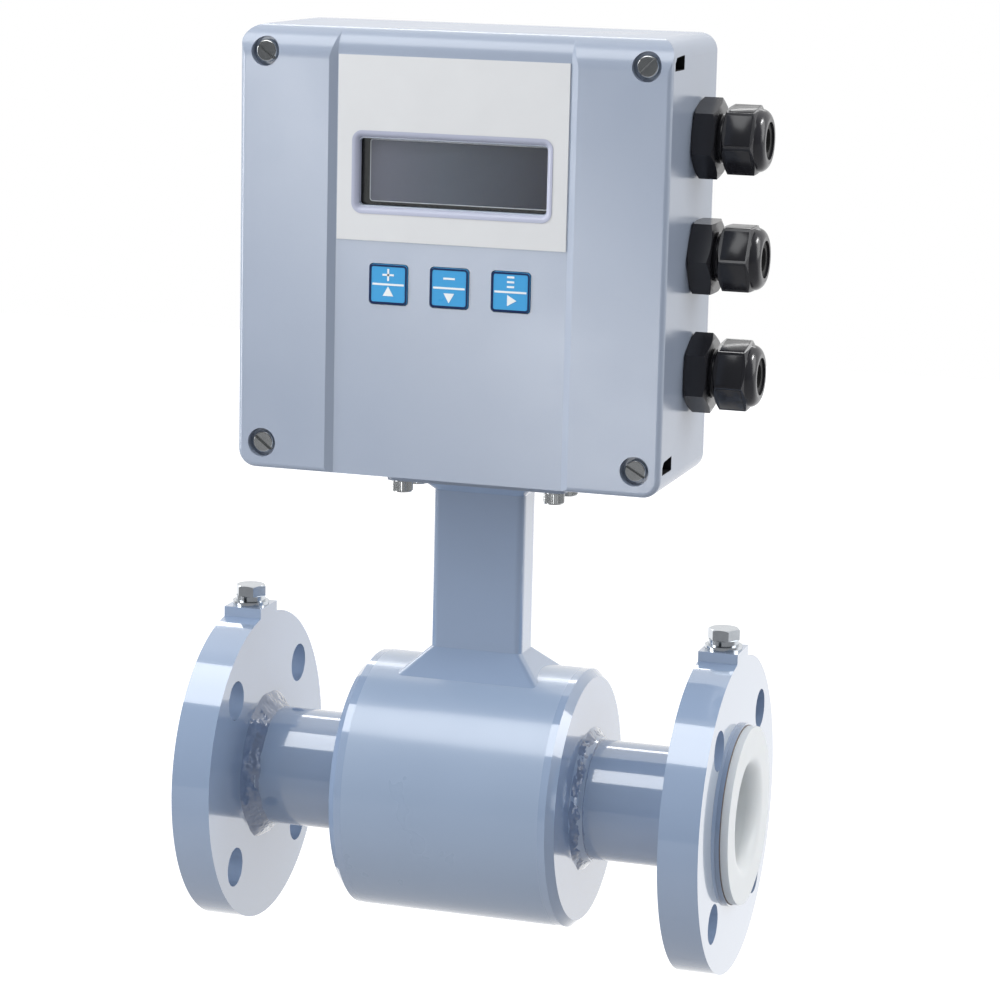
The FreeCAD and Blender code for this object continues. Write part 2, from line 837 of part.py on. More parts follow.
    def housing_base(self):
        """The cast base: walls, corner blocks, board posts and the plate pad."""
        s = self.s
        made = self.piece("housing_base")
        depth = s.box_rear - self.seam
        outer = made.on("XZ", s.box_rear)
        outer.box(s.box_width, s.box_height, ZERO, self.box_middle, s.box_corner)
        made.pad(outer, depth, "-Y")
        rear = s.box_rear.value
        made.dress("Fillet", s.base_rear_edge, lambda edge: edge.BoundBox.YMin > rear - 0.01)
        cavity = self.notched(made.on("XZ", self.seam), s.base_wall, s.base_wall, s.base_wall)
        made.pocket(cavity, depth - s.base_wall, "+Y")
        rebate = made.on("XZ", self.seam)
        inset = s.base_gasket_inset * 2
        rebate.box(s.box_width - inset, s.box_height - inset, ZERO, self.box_middle,
                   s.box_corner - s.base_gasket_inset)
        made.pocket(rebate, s.base_gasket_thickness, "+Y")
        inner_floor = self.box_bottom + s.base_wall
        pad = made.on("XY", inner_floor)
        pad_front = -(s.plate_depth / 2)
        pad.box(s.plate_width, self.floor - pad_front, ZERO, (self.floor + pad_front) / 2)
        made.pad(pad, s.plate_screw_reach - s.base_wall + s.plate_pad_extra, "+Z")
        bottom = made.on("XY", self.box_bottom)
        for across, back in self.plate_screw_places():
            bottom.circle(across, back, s.plate_screw_diameter / 2 + s.tap_clearance)
        made.pocket(bottom, s.plate_screw_reach + s.through_clearance, "+Z")
        lead = made.on("XY", self.box_bottom).box(s.lead_opening_width, s.lead_opening_depth)
        made.pocket(lead, s.box_corner + s.base_wall, "+Z")
        posts = made.on("XZ", self.floor)
        holes = made.on("XZ", self.main_front + s.board_thickness)
        for across, up in self.board_screw_places():
            posts.circle(across, up, s.main_post_diameter / 2)
            holes.circle(across, up, s.board_screw_diameter / 2 + s.tap_clearance)
        made.pad(posts, s.main_board_post, "-Y")
        made.pocket(holes, s.board_screw_reach + s.through_clearance, "+Y")
        corners = made.on("XZ", self.seam + s.base_gasket_thickness)
        for across, up in self.cover_screw_places().values():
            corners.circle(across, up, s.cover_screw_diameter / 2 + s.tap_clearance)
        made.pocket(corners, s.cover_screw_reach + s.through_clearance, "+Y")
        entries = made.on("YZ", self.side)
        for level in self.gland_places().values():
            entries.circle(self.gland_back, level, s.gland_thread / 2 + s.slip_fit)
        made.pocket(entries, s.base_wall, "-X")

    def housing_cover(self):
        """The cast cover: rounded top edge, sunk centre panel, window and keys."""
        s = self.s
        made = self.piece("housing_cover")
        outer = made.on("XZ", self.seam)
        outer.box(s.box_width, s.box_height, ZERO, self.box_middle, s.box_corner)
        made.pad(outer, s.cover_depth, "-Y")
        front = self.front.value
        made.dress("Fillet", s.cover_edge, lambda edge: edge.BoundBox.YMax < front + 0.01)
        out = s.cover_top_radius / 2
        rounding = made.on("YZ", -self.side).path([
            (self.front, self.box_top - s.cover_top_radius),
            (self.front + s.cover_top_radius, self.box_top, s.cover_top_radius, -1),
            (self.front + s.cover_top_radius, self.box_top + out),
            (self.front - out, self.box_top + out),
            (self.front - out, self.box_top - s.cover_top_radius),
        ])
        made.pocket(rounding, s.box_width, "+X")
        self.sink_panel(made)
        cavity = self.notched(made.on("XZ", self.seam), s.cover_wall, s.cover_top_wall, s.cover_wall)
        made.pocket(cavity, self.seam - self.cover_inside, "-Y")
        self.cover_openings(made)
        self.cover_corners(made)
        self.display_posts(made)

    def sink_panel(self, made):
        """Sweep the centre panel's recess up the front and out over the top edge."""
        s = self.s
        start = self.box_bottom - s.box_corner
        radius = s.cover_top_radius - s.panel_recess
        spine = made.on("YZ")
        bend_top = self.box_top + s.panel_fade
        spine.path([
            (self.panel, start),
            (self.panel, bend_top - radius),
            (self.panel + radius, bend_top, radius, -1),
        ], closed=False)
        half = s.panel_width / 2
        out = s.panel_recess * 3.0
        flare = s.panel_slope * 3.0
        profile = made.on("XY", start).path([
            (-half, self.panel),
            (half, self.panel),
            (half + flare, self.panel - out),
            (-half - flare, self.panel - out),
        ])
        made.sweep_cut(profile, spine)

    def cover_openings(self, made):
        s = self.s
        rim = made.on("XZ", self.panel)
        rim.box(s.rim_width, s.rim_height, ZERO, self.window_up, s.rim_corner)
        made.pocket(rim, s.rim_depth, "+Y")
        window = made.on("XZ", self.panel)
        window.box(s.window_width, s.window_height, ZERO, self.window_up, s.window_corner)
        made.pocket(window, s.cover_front_wall, "+Y")
        for across in self.key_places().values():
            opening = made.on("XZ", self.panel)
            opening.box(s.key_opening, s.key_opening, across, self.key_up, s.key_corner)
            made.pocket(opening, s.cover_front_wall, "+Y")

    def cover_corners(self, made):
        """Screw holes, their counterbores and the notches in the cover's sides."""
        s = self.s
        sinks, holes = made.on("XZ", self.front), made.on("XZ", self.front)
        for across, up in self.cover_screw_places().values():
            sinks.circle(across, up, s.counterbore_diameter / 2)
            holes.circle(across, up, s.cover_screw_diameter / 2 + s.through_clearance)
        made.pocket(sinks, s.counterbore_depth, "+Y")
        made.pocket(holes, s.cover_depth, "+Y")
        for plane_at, toward in ((self.side, "-X"), (-self.side, "+X")):
            for level in (self.box_middle + self.screw_up, self.box_middle - self.screw_up):
                near, far = self.seam - s.notch_length, self.seam
                low = level - s.notch_drop
                high = low + s.notch_height
                notch = made.on("YZ", plane_at).path([
                    (near, low),
                    (far, low),
                    (far, high),
                    (near + s.notch_chamfer, high - s.notch_slant),
                    (near, high - s.notch_chamfer - s.notch_slant),
                ])
                made.pocket(notch, s.notch_into, toward)

    def display_posts(self, made):
        s = self.s
        posts = made.on("XZ", self.cover_inside)
        holes = made.on("XZ", self.board_front)
        for across, up in self.display_screw_places():
            posts.circle(across, up, s.display_post_diameter / 2)
            holes.circle(across, up, s.board_screw_diameter / 2 + s.tap_clearance)
        made.pad(posts, self.board_front - self.cover_inside, "+Y")
        made.pocket(holes, s.board_screw_reach + s.through_clearance, "-Y")

    def cover_gasket(self):
        s = self.s
        made = self.piece("cover_gasket")
        ring = made.on("XZ", self.seam)
        outer = s.base_gasket_inset * 2
        inner = outer + s.base_gasket_width * 2
        ring.box(s.box_width - outer, s.box_height - outer, ZERO, self.box_middle,
                 s.box_corner - s.base_gasket_inset)
        ring.box(s.box_width - inner, s.box_height - inner, ZERO, self.box_middle)
        made.pad(ring, s.base_gasket_thickness, "+Y")

    def cover_screws(self):
        """Slotted cheese head screws, each slot left where tightening left it."""
        s = self.s
        screws = []
        seat = s.counterbore_depth
        tip = s.cover_depth + s.base_gasket_thickness + s.cover_screw_reach
        for corner, (across, up) in self.cover_screw_places().items():
            screw = self.loose("cover_screw")
            screw.turn(screw.on("XY").path([
                (ZERO, seat - s.cover_screw_head_height),
                (s.cover_screw_head / 2 - s.head_crown, seat - s.cover_screw_head_height),
                (s.cover_screw_head / 2, seat - s.cover_screw_head_height + s.head_crown,
                 s.head_crown, 1),
                (s.cover_screw_head / 2, seat),
                (s.cover_screw_diameter / 2, seat),
                (s.cover_screw_diameter / 2, tip),
                (ZERO, tip),
            ]), "V_Axis")
            slot = screw.on("XZ", seat - s.cover_screw_head_height)
            slot.box(s.cover_screw_head, s.cover_screw_slot)
            screw.pocket(slot, s.cover_screw_slot_depth, "+Y")
            turn = FreeCAD.Rotation(FreeCAD.Vector(0, -1, 0), SLOT_ANGLES[corner])
            screw.body.Placement = FreeCAD.Placement(FreeCAD.Vector(), turn)
            screw.put(across, self.front, up)
            screws.append(screw)
        self.gather("cover_screws", screws)

    # front panel and display

    def key_places(self):
        s = self.s
        return {"plus": -s.key_pitch, "minus": ZERO, "enter": s.key_pitch}

    def label_plate(self):
        s = self.s
        made = self.piece("label_plate")
        face = made.on("XZ", self.panel)
        middle_up = self.box_top - s.label_top - s.label_height / 2
        face.box(s.label_width, s.label_height, ZERO, middle_up)
        face.box(s.rim_width, s.rim_height, ZERO, self.window_up, s.rim_corner)
        made.pad(face, s.label_thickness, "-Y")

    def display_window(self):
        s = self.s
        made = self.piece("display_window")
        face = made.on("XZ", self.cover_inside)
        margin = s.pane_margin * 2
        face.box(s.window_width + margin, s.window_height + margin, ZERO, self.window_up)
        made.pad(face, s.pane_thickness, "+Y")

    def lcd(self):
        """The display module's metal frame with its glass set in."""
        s = self.s
        made = self.piece("lcd_frame")
        face = made.on("XZ", self.lcd_front)
        face.box(s.lcd_frame_width, s.lcd_frame_height, ZERO, self.window_up)
        made.pad(face, s.lcd_frame_depth, "+Y")
        view = made.on("XZ", self.lcd_front)
        view.box(s.lcd_view_width, s.lcd_view_height, ZERO, self.window_up)
        made.pocket(view, s.lcd_glass_thickness, "+Y")
        glass = self.piece("lcd_glass")
        face = glass.on("XZ", self.lcd_front)
        face.box(s.lcd_view_width, s.lcd_view_height, ZERO, self.window_up)
        glass.pad(face, s.lcd_glass_thickness, "+Y")

    def display_screw_places(self):
        s = self.s
        across = s.display_board_width / 2 - s.post_margin
        up = s.display_board_height / 2 - s.post_margin
        level = self.box_top - s.display_board_drop
        return [(-across, level - up), (across, level - up), (-across, level + up), (across, level + up)]

    def board_screw_places(self):
        s = self.s
        across = s.main_board_width / 2 - s.post_margin
        up = s.main_board_height / 2 - s.post_margin
        level = self.box_middle
        return [(-across, level - up), (across, level - up), (-across, level + up), (across, level + up)]

    def board(self, name, at, width, height, level, places):
        s = self.s
        made = self.piece(name)
        face = made.on("XZ", at).box(width, height, ZERO, level)
        for across, up in places:
            face.circle(across, up, s.board_screw_diameter / 2 + s.through_clearance)
        made.pad(face, s.board_thickness, "+Y")

    def board_screws(self, name, head_at, toward, places):
        """Pan head screws; toward is +1 where the shank points to the rear."""
        s = self.s
        screws = []
        reach = s.board_thickness + s.board_screw_reach
        for across, up in places:
            screw = self.loose("board_screw")
            screw.turn(screw.on("XY").path([
                (ZERO, -s.board_screw_head_height),
                (s.board_screw_head / 2 - s.head_crown, -s.board_screw_head_height),
                (s.board_screw_head / 2, s.head_crown - s.board_screw_head_height),
                (s.board_screw_head / 2, ZERO),
                (s.board_screw_diameter / 2, ZERO),
                (s.board_screw_diameter / 2, reach),
                (ZERO, reach),
            ]), "V_Axis")
            if toward < 0:
                screw.face_about()
            screw.put(across, head_at, up)
            screws.append(screw)
        self.gather(name, screws)

    def boards(self):
        s = self.s
        level = self.box_top - s.display_board_drop
        self.board("display_board", self.board_front, s.display_board_width,
                   s.display_board_height, level, self.display_screw_places())
        self.board_screws("display_screws", self.board_front + s.board_thickness, -1,
                          self.display_screw_places())
        self.board("main_board", self.main_front, s.main_board_width,
                   s.main_board_height, self.box_middle, self.board_screw_places())
        self.board_screws("board_screws", self.main_front, 1, self.board_screw_places())

    def key(self, name, across):
        """A push key: cap, retaining flange behind the panel and stem."""
        s = self.s
        made = self.piece(name)
        cap = s.key_opening - s.key_clearance * 2
        flange = s.key_opening + s.key_flange * 2
        flange_front = self.cover_inside + s.key_rest_gap
        flange_back = flange_front + s.key_flange_thickness
        face = self.panel - s.key_proud
        made.pad(made.on("XZ", face).box(cap, cap, across, self.key_up, s.key_corner),
                 flange_front - face, "+Y")
        front = face.value
        made.dress("Fillet", s.key_edge, lambda edge: edge.BoundBox.YMax < front + 0.01)
        made.pad(made.on("XZ", flange_front).box(flange, flange, across, self.key_up),
                 s.key_flange_thickness, "+Y")
        stem_end = self.board_front - s.switch_height + s.switch_well - s.key_travel - s.key_rest_gap
        made.pad(made.on("XZ", flange_back).circle(across, self.key_up, s.key_stem_diameter / 2),
                 stem_end - flange_back, "+Y")

    def key_switches(self):
        s = self.s
        switches = []
        for across in self.key_places().values():
            switch = self.loose("key_switch")
            block = switch.on("XZ", self.board_front)
            block.box(s.switch_size, s.switch_size, across, self.key_up)
            switch.pad(block, s.switch_height, "-Y")
            well = switch.on("XZ", self.board_front - s.switch_height)
            well.circle(across, self.key_up, s.key_stem_diameter / 2 + s.switch_fit)
            switch.pocket(well, s.switch_well, "+Y")
            switches.append(switch)
        self.gather("key_switches", switches)

    def electronics(self):
        """Transformer, terminal strip and capacitors on the main board."""
        s = self.s
        low = self.box_middle - s.main_board_height / 2
        transformer = self.piece("transformer")
        core = transformer.on("XZ", self.main_front)
        core.box(s.transformer_width, s.transformer_height, -s.main_board_width / 5,
                 self.box_middle + s.main_board_height / 5)
        transformer.pad(core, s.transformer_depth, "-Y")
        strip = self.piece("terminal_strip")
        length = s.terminal_pitch * s.terminal_count
        level = low + s.terminal_height
        block = strip.on("XZ", self.main_front)
        block.box(length, s.terminal_height, ZERO, level)
        strip.pad(block, s.terminal_depth, "-Y")
        first = (s.terminal_pitch - length) / 2
        entry = strip.on("XZ", self.main_front - s.terminal_depth)
        entry.circle(first, level, s.terminal_pitch * s.terminal_screw_share)
        strip.pocket(entry, s.terminal_depth / 4, "+Y")
        strip.row_of("X_Axis", length - s.terminal_pitch, s.terminal_count)
        capacitors = self.piece("capacitors")
        cans = capacitors.on("XZ", self.main_front)
        for number in (1.0, 2.5):
            cans.circle(s.capacitor_diameter * number, self.box_middle + s.main_board_height / 5,
                        s.capacitor_diameter / 2)
        capacitors.pad(cans, s.capacitor_length, "-Y")

    # cable glands

    def hex_chamfers(self, made, flats, near, far):
        """Turn the hexagon's corners down at its two ends."""
        s = self.s
        flat, out = flats / 2, flats / 2 * s.crown_reach
        for end, inward in ((near, 1.0), (far, -1.0)):
            made.turn(made.on("XZ").path([
                (end, flat),
                (end + s.gland_chamfer * inward, out),
                (end, out),
            ]), "H_Axis", cut=True)

    def gland(self, place, level):
        s = self.s
        turn = GLAND_TURNS[place]
        thread = s.gland_thread / 2
        collar = s.gland_collar_diameter / 2
        bore, seat = s.gland_bore / 2, s.seal_diameter / 2 + s.slip_fit
        nut_near = s.gland_nut_start
        collar_end = nut_near + s.gland_collar_reach
        seat_at = nut_near + s.gland_seat_depth
        body = self.piece("gland_body_" + place)
        body.turn(body.on("XZ").path([
            (-s.gland_thread_reach, bore),
            (seat_at, bore),
            (seat_at, seat),
            (collar_end, seat),
            (collar_end, collar),
            (ZERO, collar),
            (ZERO, thread),
            (-s.gland_thread_reach, thread),
        ]), "H_Axis")
        hexagon = body.on("YZ").hexagon(s.gland_body_flats, turn).circle(0, 0, collar - s.slip_fit)
        body.pad(hexagon, s.gland_body_length, "+X")
        self.hex_chamfers(body, s.gland_body_flats, ZERO, s.gland_body_length)
        body.put(self.side, self.gland_back, level)
        nut = self.piece("gland_nut_" + place)
        hex_end = nut_near + s.gland_nut_hex_length
        nut_end = nut_near + s.gland_nut_length
        mouth = s.gland_mouth / 2
        dome = s.gland_nut_flats / 2
        inner = collar + s.slip_fit
        nut.turn(nut.on("XZ").path([
            (nut_near, inner),
            (collar_end + s.slip_fit, inner),
            (collar_end + s.slip_fit, mouth),
            (nut_end, mouth),
            (nut_end, mouth + s.gland_lip),
            (hex_end, dome, s.gland_dome_radius, 1),
            (nut_near, dome),
        ]), "H_Axis")
        hexagon = nut.on("YZ", nut_near).hexagon(s.gland_nut_flats, turn / 2)
        nut.pad(hexagon.circle(0, 0, inner + s.gland_lip), s.gland_nut_hex_length, "+X")
        self.hex_chamfers(nut, s.gland_nut_flats, nut_near, hex_end)
        nut.put(self.side, self.gland_back, level)
        seal = self.piece("gland_seal_" + place)
        ring = seal.on("YZ", seat_at).circle(0, 0, s.seal_diameter / 2)
        seal.pad(ring.circle(0, 0, s.seal_bore / 2), s.seal_length, "+X")
        seal.put(self.side, self.gland_back, level)
        locknut = self.piece("gland_locknut_" + place)
        ring = locknut.on("YZ", -s.base_wall - s.locknut_thickness)
        ring.hexagon(s.locknut_flats, turn).circle(0, 0, thread + s.slip_fit)
        locknut.pad(ring, s.locknut_thickness, "+X")
        locknut.put(self.side, self.gland_back, level)

    # measuring parts

    def electrode(self, name, rear):
        s = self.s
        made = self.piece(name)
        seat = self.electrode_seat
        head = self.electrode_seat - s.electrode_head_thickness
        made.turn(made.on("XY").path([
            (ZERO, head),
            (s.electrode_head / 2, head),
            (s.electrode_head / 2, seat),
            (s.electrode_diameter / 2, seat),
            (s.electrode_diameter / 2, seat + s.electrode_reach),
            (ZERO, seat + s.electrode_reach),
        ]), "V_Axis")
        if not rear:
            made.face_about()

    def electrode_fittings(self):
        """Insulating bushes in the tube wall and the nuts that draw the electrodes up."""
        s = self.s
        bushes, nuts = [], []
        near = self.tube_inner
        far = near + s.bush_length
        for rear in (True, False):
            bush = self.loose("electrode_bush")
            ring = bush.on("XZ", near).circle(0, 0, s.bush_diameter / 2)
            bush.pad(ring.circle(0, 0, s.electrode_diameter / 2 + s.slip_fit), s.bush_length, "+Y")
            nut = self.loose("electrode_nut")
            ring = nut.on("XZ", far).hexagon(s.electrode_nut_flats)
            ring.circle(0, 0, s.electrode_diameter / 2 + s.slip_fit)
            nut.pad(ring, s.electrode_nut_thickness, "+Y")
            if not rear:
                bush.face_about()
                nut.face_about()
            bushes.append(bush)
            nuts.append(nut)
        self.gather("electrode_bushes", bushes)
        self.gather("electrode_nuts", nuts)

    def magnet(self, name_coil, name_shoe, sign):
        """One field coil round its pole shoe, above or below the tube."""
        s = self.s
        way = "+Z" if sign > 0 else "-Z"
        start = (self.tube_radius + s.coil_seat) * sign
        coil = self.piece(name_coil)
        inner = s.shoe_width + s.core_fit * 2
        length = s.shoe_length + s.core_fit * 2
        ring = coil.on("XY", start)
        ring.box(inner + s.coil_ring * 2, length + s.coil_ring * 2, ZERO, ZERO, s.coil_ring)
        ring.box(inner, length)
        coil.pad(ring, s.coil_height, way)
        shoe = self.piece(name_shoe)
        core = shoe.on("XY").box(s.shoe_width, s.shoe_length)
        shoe.pad(core, s.yoke_diameter / 2, way)
        yoke_inner = s.yoke_diameter / 2 - s.yoke_wall
        for low, high in ((ZERO, self.tube_radius + s.slip_fit), (yoke_inner - s.slip_fit, self.shell_radius)):
            shoe.turn(shoe.on("XZ").path([
                (-s.shoe_width, low),
                (s.shoe_width, low),
                (s.shoe_width, high),
                (-s.shoe_width, high),
            ]), "H_Axis", cut=True)

    def yoke(self):
        s = self.s
        made = self.piece("magnetic_yoke")
        outer = s.yoke_diameter / 2
        ring = made.on("YZ", -s.yoke_length / 2).circle(0, 0, outer).circle(0, 0, outer - s.yoke_wall)
        made.pad(ring, s.yoke_length, "+X")

    def build(self):
        self.flow_tube()
        self.flange("flange_left", True)
        self.flange("flange_right", False)
        self.liner()
        self.ground_fasteners()
        self.coil_shell()
        self.end_cap("end_cap_left", True)
        self.end_cap("end_cap_right", False)
        self.neck()
        self.neck_plate()
        self.neck_gasket()
        self.plate_screws()
        self.housing_base()
        self.housing_cover()
        self.cover_gasket()
        self.cover_screws()
        self.label_plate()
        self.display_window()
        self.lcd()
        self.boards()
        for place, across in self.key_places().items():
            self.key("key_" + place, across)
        self.key_switches()
        self.electronics()
        for place, level in self.gland_places().items():
            self.gland(place, level)
        self.electrode("electrode_front", False)
        self.electrode("electrode_rear", True)
        self.electrode_fittings()
        self.magnet("coil_upper", "pole_shoe_upper", 1)
        self.magnet("coil_lower", "pole_shoe_lower", -1)
        self.yoke()


def check(doc, parts):
    """Stop with a message if any object failed or any sub-part is not a sound solid."""
    for item in doc.Objects:
        if "Invalid" in item.State or "Error" in item.State:
            raise RuntimeError("%s (%s) failed: %s" % (item.Name, item.Label, item.State))
    for part in parts:
        shape = part.Shape
        if shape.isNull() or not shape.isValid() or not shape.Solids:
            raise RuntimeError("%s has no sound shape" % part.Label)


def main():
    doc = FreeCAD.newDocument("flow_meter")
    meter = Meter(doc)
    meter.build()
    doc.recompute()
    check(doc, meter.parts)
    os.makedirs("parts", exist_ok=True)
    for part in meter.parts:
        part.Shape.exportStep("parts/%s.step" % part.Label)
        print("%-22s solids %d volume %.1f" % (part.Label, len(part.Shape.Solids), part.Shape.Volume))


main()
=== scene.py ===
"""Dresses the electromagnetic flow meter: finishes, welds, key signs, glazing, light and camera."""

import json
import logging
import math
from collections.abc import Callable
from dataclasses import dataclass
from enum import Enum

import bpy
from mathutils import Matrix, Vector, noise


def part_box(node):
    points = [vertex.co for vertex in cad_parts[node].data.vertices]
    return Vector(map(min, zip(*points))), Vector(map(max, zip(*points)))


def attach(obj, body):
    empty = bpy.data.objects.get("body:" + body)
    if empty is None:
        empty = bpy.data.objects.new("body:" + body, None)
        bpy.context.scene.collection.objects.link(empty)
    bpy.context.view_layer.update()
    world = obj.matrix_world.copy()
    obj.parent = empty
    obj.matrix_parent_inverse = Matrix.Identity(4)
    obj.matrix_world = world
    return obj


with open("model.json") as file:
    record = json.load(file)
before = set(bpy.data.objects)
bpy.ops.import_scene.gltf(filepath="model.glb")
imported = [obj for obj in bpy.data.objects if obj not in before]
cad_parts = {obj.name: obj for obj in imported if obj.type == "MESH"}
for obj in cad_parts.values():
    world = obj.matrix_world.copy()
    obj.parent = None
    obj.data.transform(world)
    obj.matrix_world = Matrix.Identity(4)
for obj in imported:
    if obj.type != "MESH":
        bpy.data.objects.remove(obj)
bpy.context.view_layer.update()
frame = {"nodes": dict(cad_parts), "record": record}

LOG = logging.getLogger("flow_meter")
MM = 0.001
METER = "meter"
UPRIGHT = (math.radians(90.0), 0.0, 0.0)
ROUND_FLOW_LINE = (0.0, math.radians(90.0), 0.0)
Triple = tuple[float, float, float]


# ---------------- handwork


class Way(Enum):
    """The directions in which a key's arrow can point, as turns about the view axis."""

    UP = 0.0
    RIGHT = 90.0
    DOWN = -180.0


class Part(Enum):
    """The kinds of element that can be picked on a mesh."""

    EDGE = "edges"
    FACE = "polygons"


class Bench:
    """Handwork that every sub-assembly shares: starting, picking, shaping and finishing a mesh."""

    @staticmethod
    def clear() -> None:
        """Leave edit mode and let go of everything that is selected."""
        if bpy.context.object is not None and bpy.context.object.mode != "OBJECT":
            bpy.ops.object.mode_set(mode="OBJECT")
        bpy.ops.object.select_all(action="DESELECT")

    @staticmethod
    def hold(piece: bpy.types.Object) -> None:
        """Select one piece alone and make it active.

        Args:
            piece: The object to work on.
        """
        Bench.clear()
        piece.select_set(True)
        bpy.context.view_layer.objects.active = piece

    @staticmethod
    def open(piece: bpy.types.Object) -> None:
        """Take one piece into edit mode with all of it selected.

        Args:
            piece: The mesh object.
        """
        Bench.hold(piece)
        bpy.ops.object.mode_set(mode="EDIT")
        bpy.ops.mesh.select_all(action="SELECT")

    @staticmethod
    def close() -> None:
        """Leave edit mode."""
        bpy.ops.object.mode_set(mode="OBJECT")

    @staticmethod
    def pick(piece: bpy.types.Object, part: Part, test: Callable[[object], bool]) -> None:
        """Take one piece into edit mode with only the elements selected that pass a test.

        Args:
            piece: The mesh object.
            part: Whether edges or faces are picked.
            test: Says whether one edge or face is wanted.
        """
        Bench.hold(piece)
        mesh = piece.data
        for elements in (mesh.vertices, mesh.edges, mesh.polygons):
            elements.foreach_set("select", [False] * len(elements))
        for element in getattr(mesh, part.value):
            element.select = test(element)
        bpy.ops.object.mode_set(mode="EDIT")
        bpy.ops.mesh.select_mode(type=part.name)

    @staticmethod
    def settle(piece: bpy.types.Object) -> bpy.types.Object:
        """Put the object's place, turn and scale into its mesh.

        Args:
            piece: The object, in place.

        Returns:
            The same object, at the origin, unturned and unscaled.
        """
        Bench.hold(piece)
        bpy.ops.object.transform_apply(location=True, rotation=True, scale=True)
        return piece

    @staticmethod
    def modify(piece: bpy.types.Object, kind: str, **settings: object) -> bpy.types.Object:
        """Add a modifier, set it and apply it.

        Args:
            piece: The mesh object.
            kind: The modifier's type, such as "BEVEL".
            **settings: The modifier's properties.

        Returns:
            The same object.
        """
        Bench.hold(piece)
        modifier = piece.modifiers.new(kind.title(), kind)
        for name, value in settings.items():
            setattr(modifier, name, value)
        bpy.ops.object.modifier_apply(modifier=modifier.name)
        return piece

    @staticmethod
    def smooth(piece: bpy.types.Object, degrees: float) -> None:
        """Shade smooth, but keep creases sharper than an angle in degrees."""
        Bench.hold(piece)
        bpy.ops.object.shade_smooth_by_angle(angle=math.radians(degrees))

    @staticmethod
    def block(name: str, size: Triple, at: Vector) -> bpy.types.Object:
        """A box of a given size about a centre.

        Args:
            name: The piece's name.
            size: Its lengths along X, Y and Z, in metres.
            at: Its centre.

        Returns:
            The new object, settled.
        """
        Bench.clear()
        bpy.ops.mesh.primitive_cube_add(size=1.0, location=at)
        piece = bpy.context.object
        piece.name = name
        piece.scale = size
        return Bench.settle(piece)

    @staticmethod
    def hoop(name: str, at: Vector, radius: float, section: float,
             segments: tuple[int, int]) -> bpy.types.Object:
        """A round hoop about the flow line's direction.

        Args:
            name: The piece's name.
            at: Its centre.
            radius: The radius of its middle line.
            section: The radius of its section.
            segments: How many faces it has round the hoop and round its section.

        Returns:
            The new object, settled.
        """
        Bench.clear()
        bpy.ops.mesh.primitive_torus_add(
            major_segments=segments[0], minor_segments=segments[1], major_radius=radius,
            minor_radius=section, location=at, rotation=ROUND_FLOW_LINE)
        piece = bpy.context.object
        piece.name = name
        return Bench.settle(piece)

    @staticmethod
    def join(name: str, parts: list[bpy.types.Object]) -> bpy.types.Object:
        """Join loose parts into one object.

        Args:
            name: The joined piece's name.
            parts: The objects to join, two or more.

        Returns:
            The joined object.
        """
        Bench.clear()
        for part in parts:
            part.select_set(True)
        bpy.context.view_layer.objects.active = parts[0]
        bpy.ops.object.join()
        parts[0].name = name
        return parts[0]


@dataclass(frozen=True)
class Outline:
    """An upright rectangle with rounded corners, seen from the front."""

    centre: Vector
    size: tuple[float, float]
    corner: float
    corner_segments: int

    def sheet(self, name: str) -> bpy.types.Object:
        """The outline as a flat sheet, left in edit mode with all of it selected.

        Args:
            name: The piece's name.

        Returns:
            The new object.
        """
        Bench.clear()
        bpy.ops.mesh.primitive_plane_add(size=1.0, location=self.centre, rotation=UPRIGHT)
        piece = bpy.context.object
        piece.name = name
        piece.scale = (*self.size, 1.0)
        Bench.open(Bench.settle(piece))
        bpy.ops.mesh.bevel(affect="VERTICES", offset=self.corner, segments=self.corner_segments)
        bpy.ops.mesh.select_all(action="SELECT")
        return piece

    def band(self, name: str, wide: float, film: float) -> bpy.types.Object:
        """A thin closed band that runs inside the outline, round an open middle.

        Args:
            name: The piece's name.
            wide: How wide the band is.
            film: How thick it is.

        Returns:
            The new object.
        """
        piece = self.sheet(name)
        bpy.ops.mesh.inset(thickness=wide)
        bpy.ops.mesh.delete(type="FACE")
        Bench.close()
        return Bench.modify(piece, "SOLIDIFY", thickness=film, offset=0.0)


def finish_piece(piece: bpy.types.Object, finish: "Finish", body: str) -> None:
    """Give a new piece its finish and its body.

    Args:
        piece: The finished mesh object.
        finish: What it is coated with or made of.
        body: The body that it rides on.
    """
    piece.data.materials.clear()
    piece.data.materials.append(finish.material())
    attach(piece, body)
    LOG.info("made %s: %d faces on %s", piece.name, len(piece.data.polygons), body)


# ---------------- finishes


def linear(colour: Triple) -> Triple:
    """Turn a colour as it looks on a screen into linear light."""
    return tuple(c / 12.92 if c <= 0.04045 else ((c + 0.055) / 1.055) ** 2.4 for c in colour)


def tint(colour: Triple, share: float) -> Triple:
    """A linear colour made lighter or darker by a share."""
    return tuple(min(1.0, c * share) for c in colour)


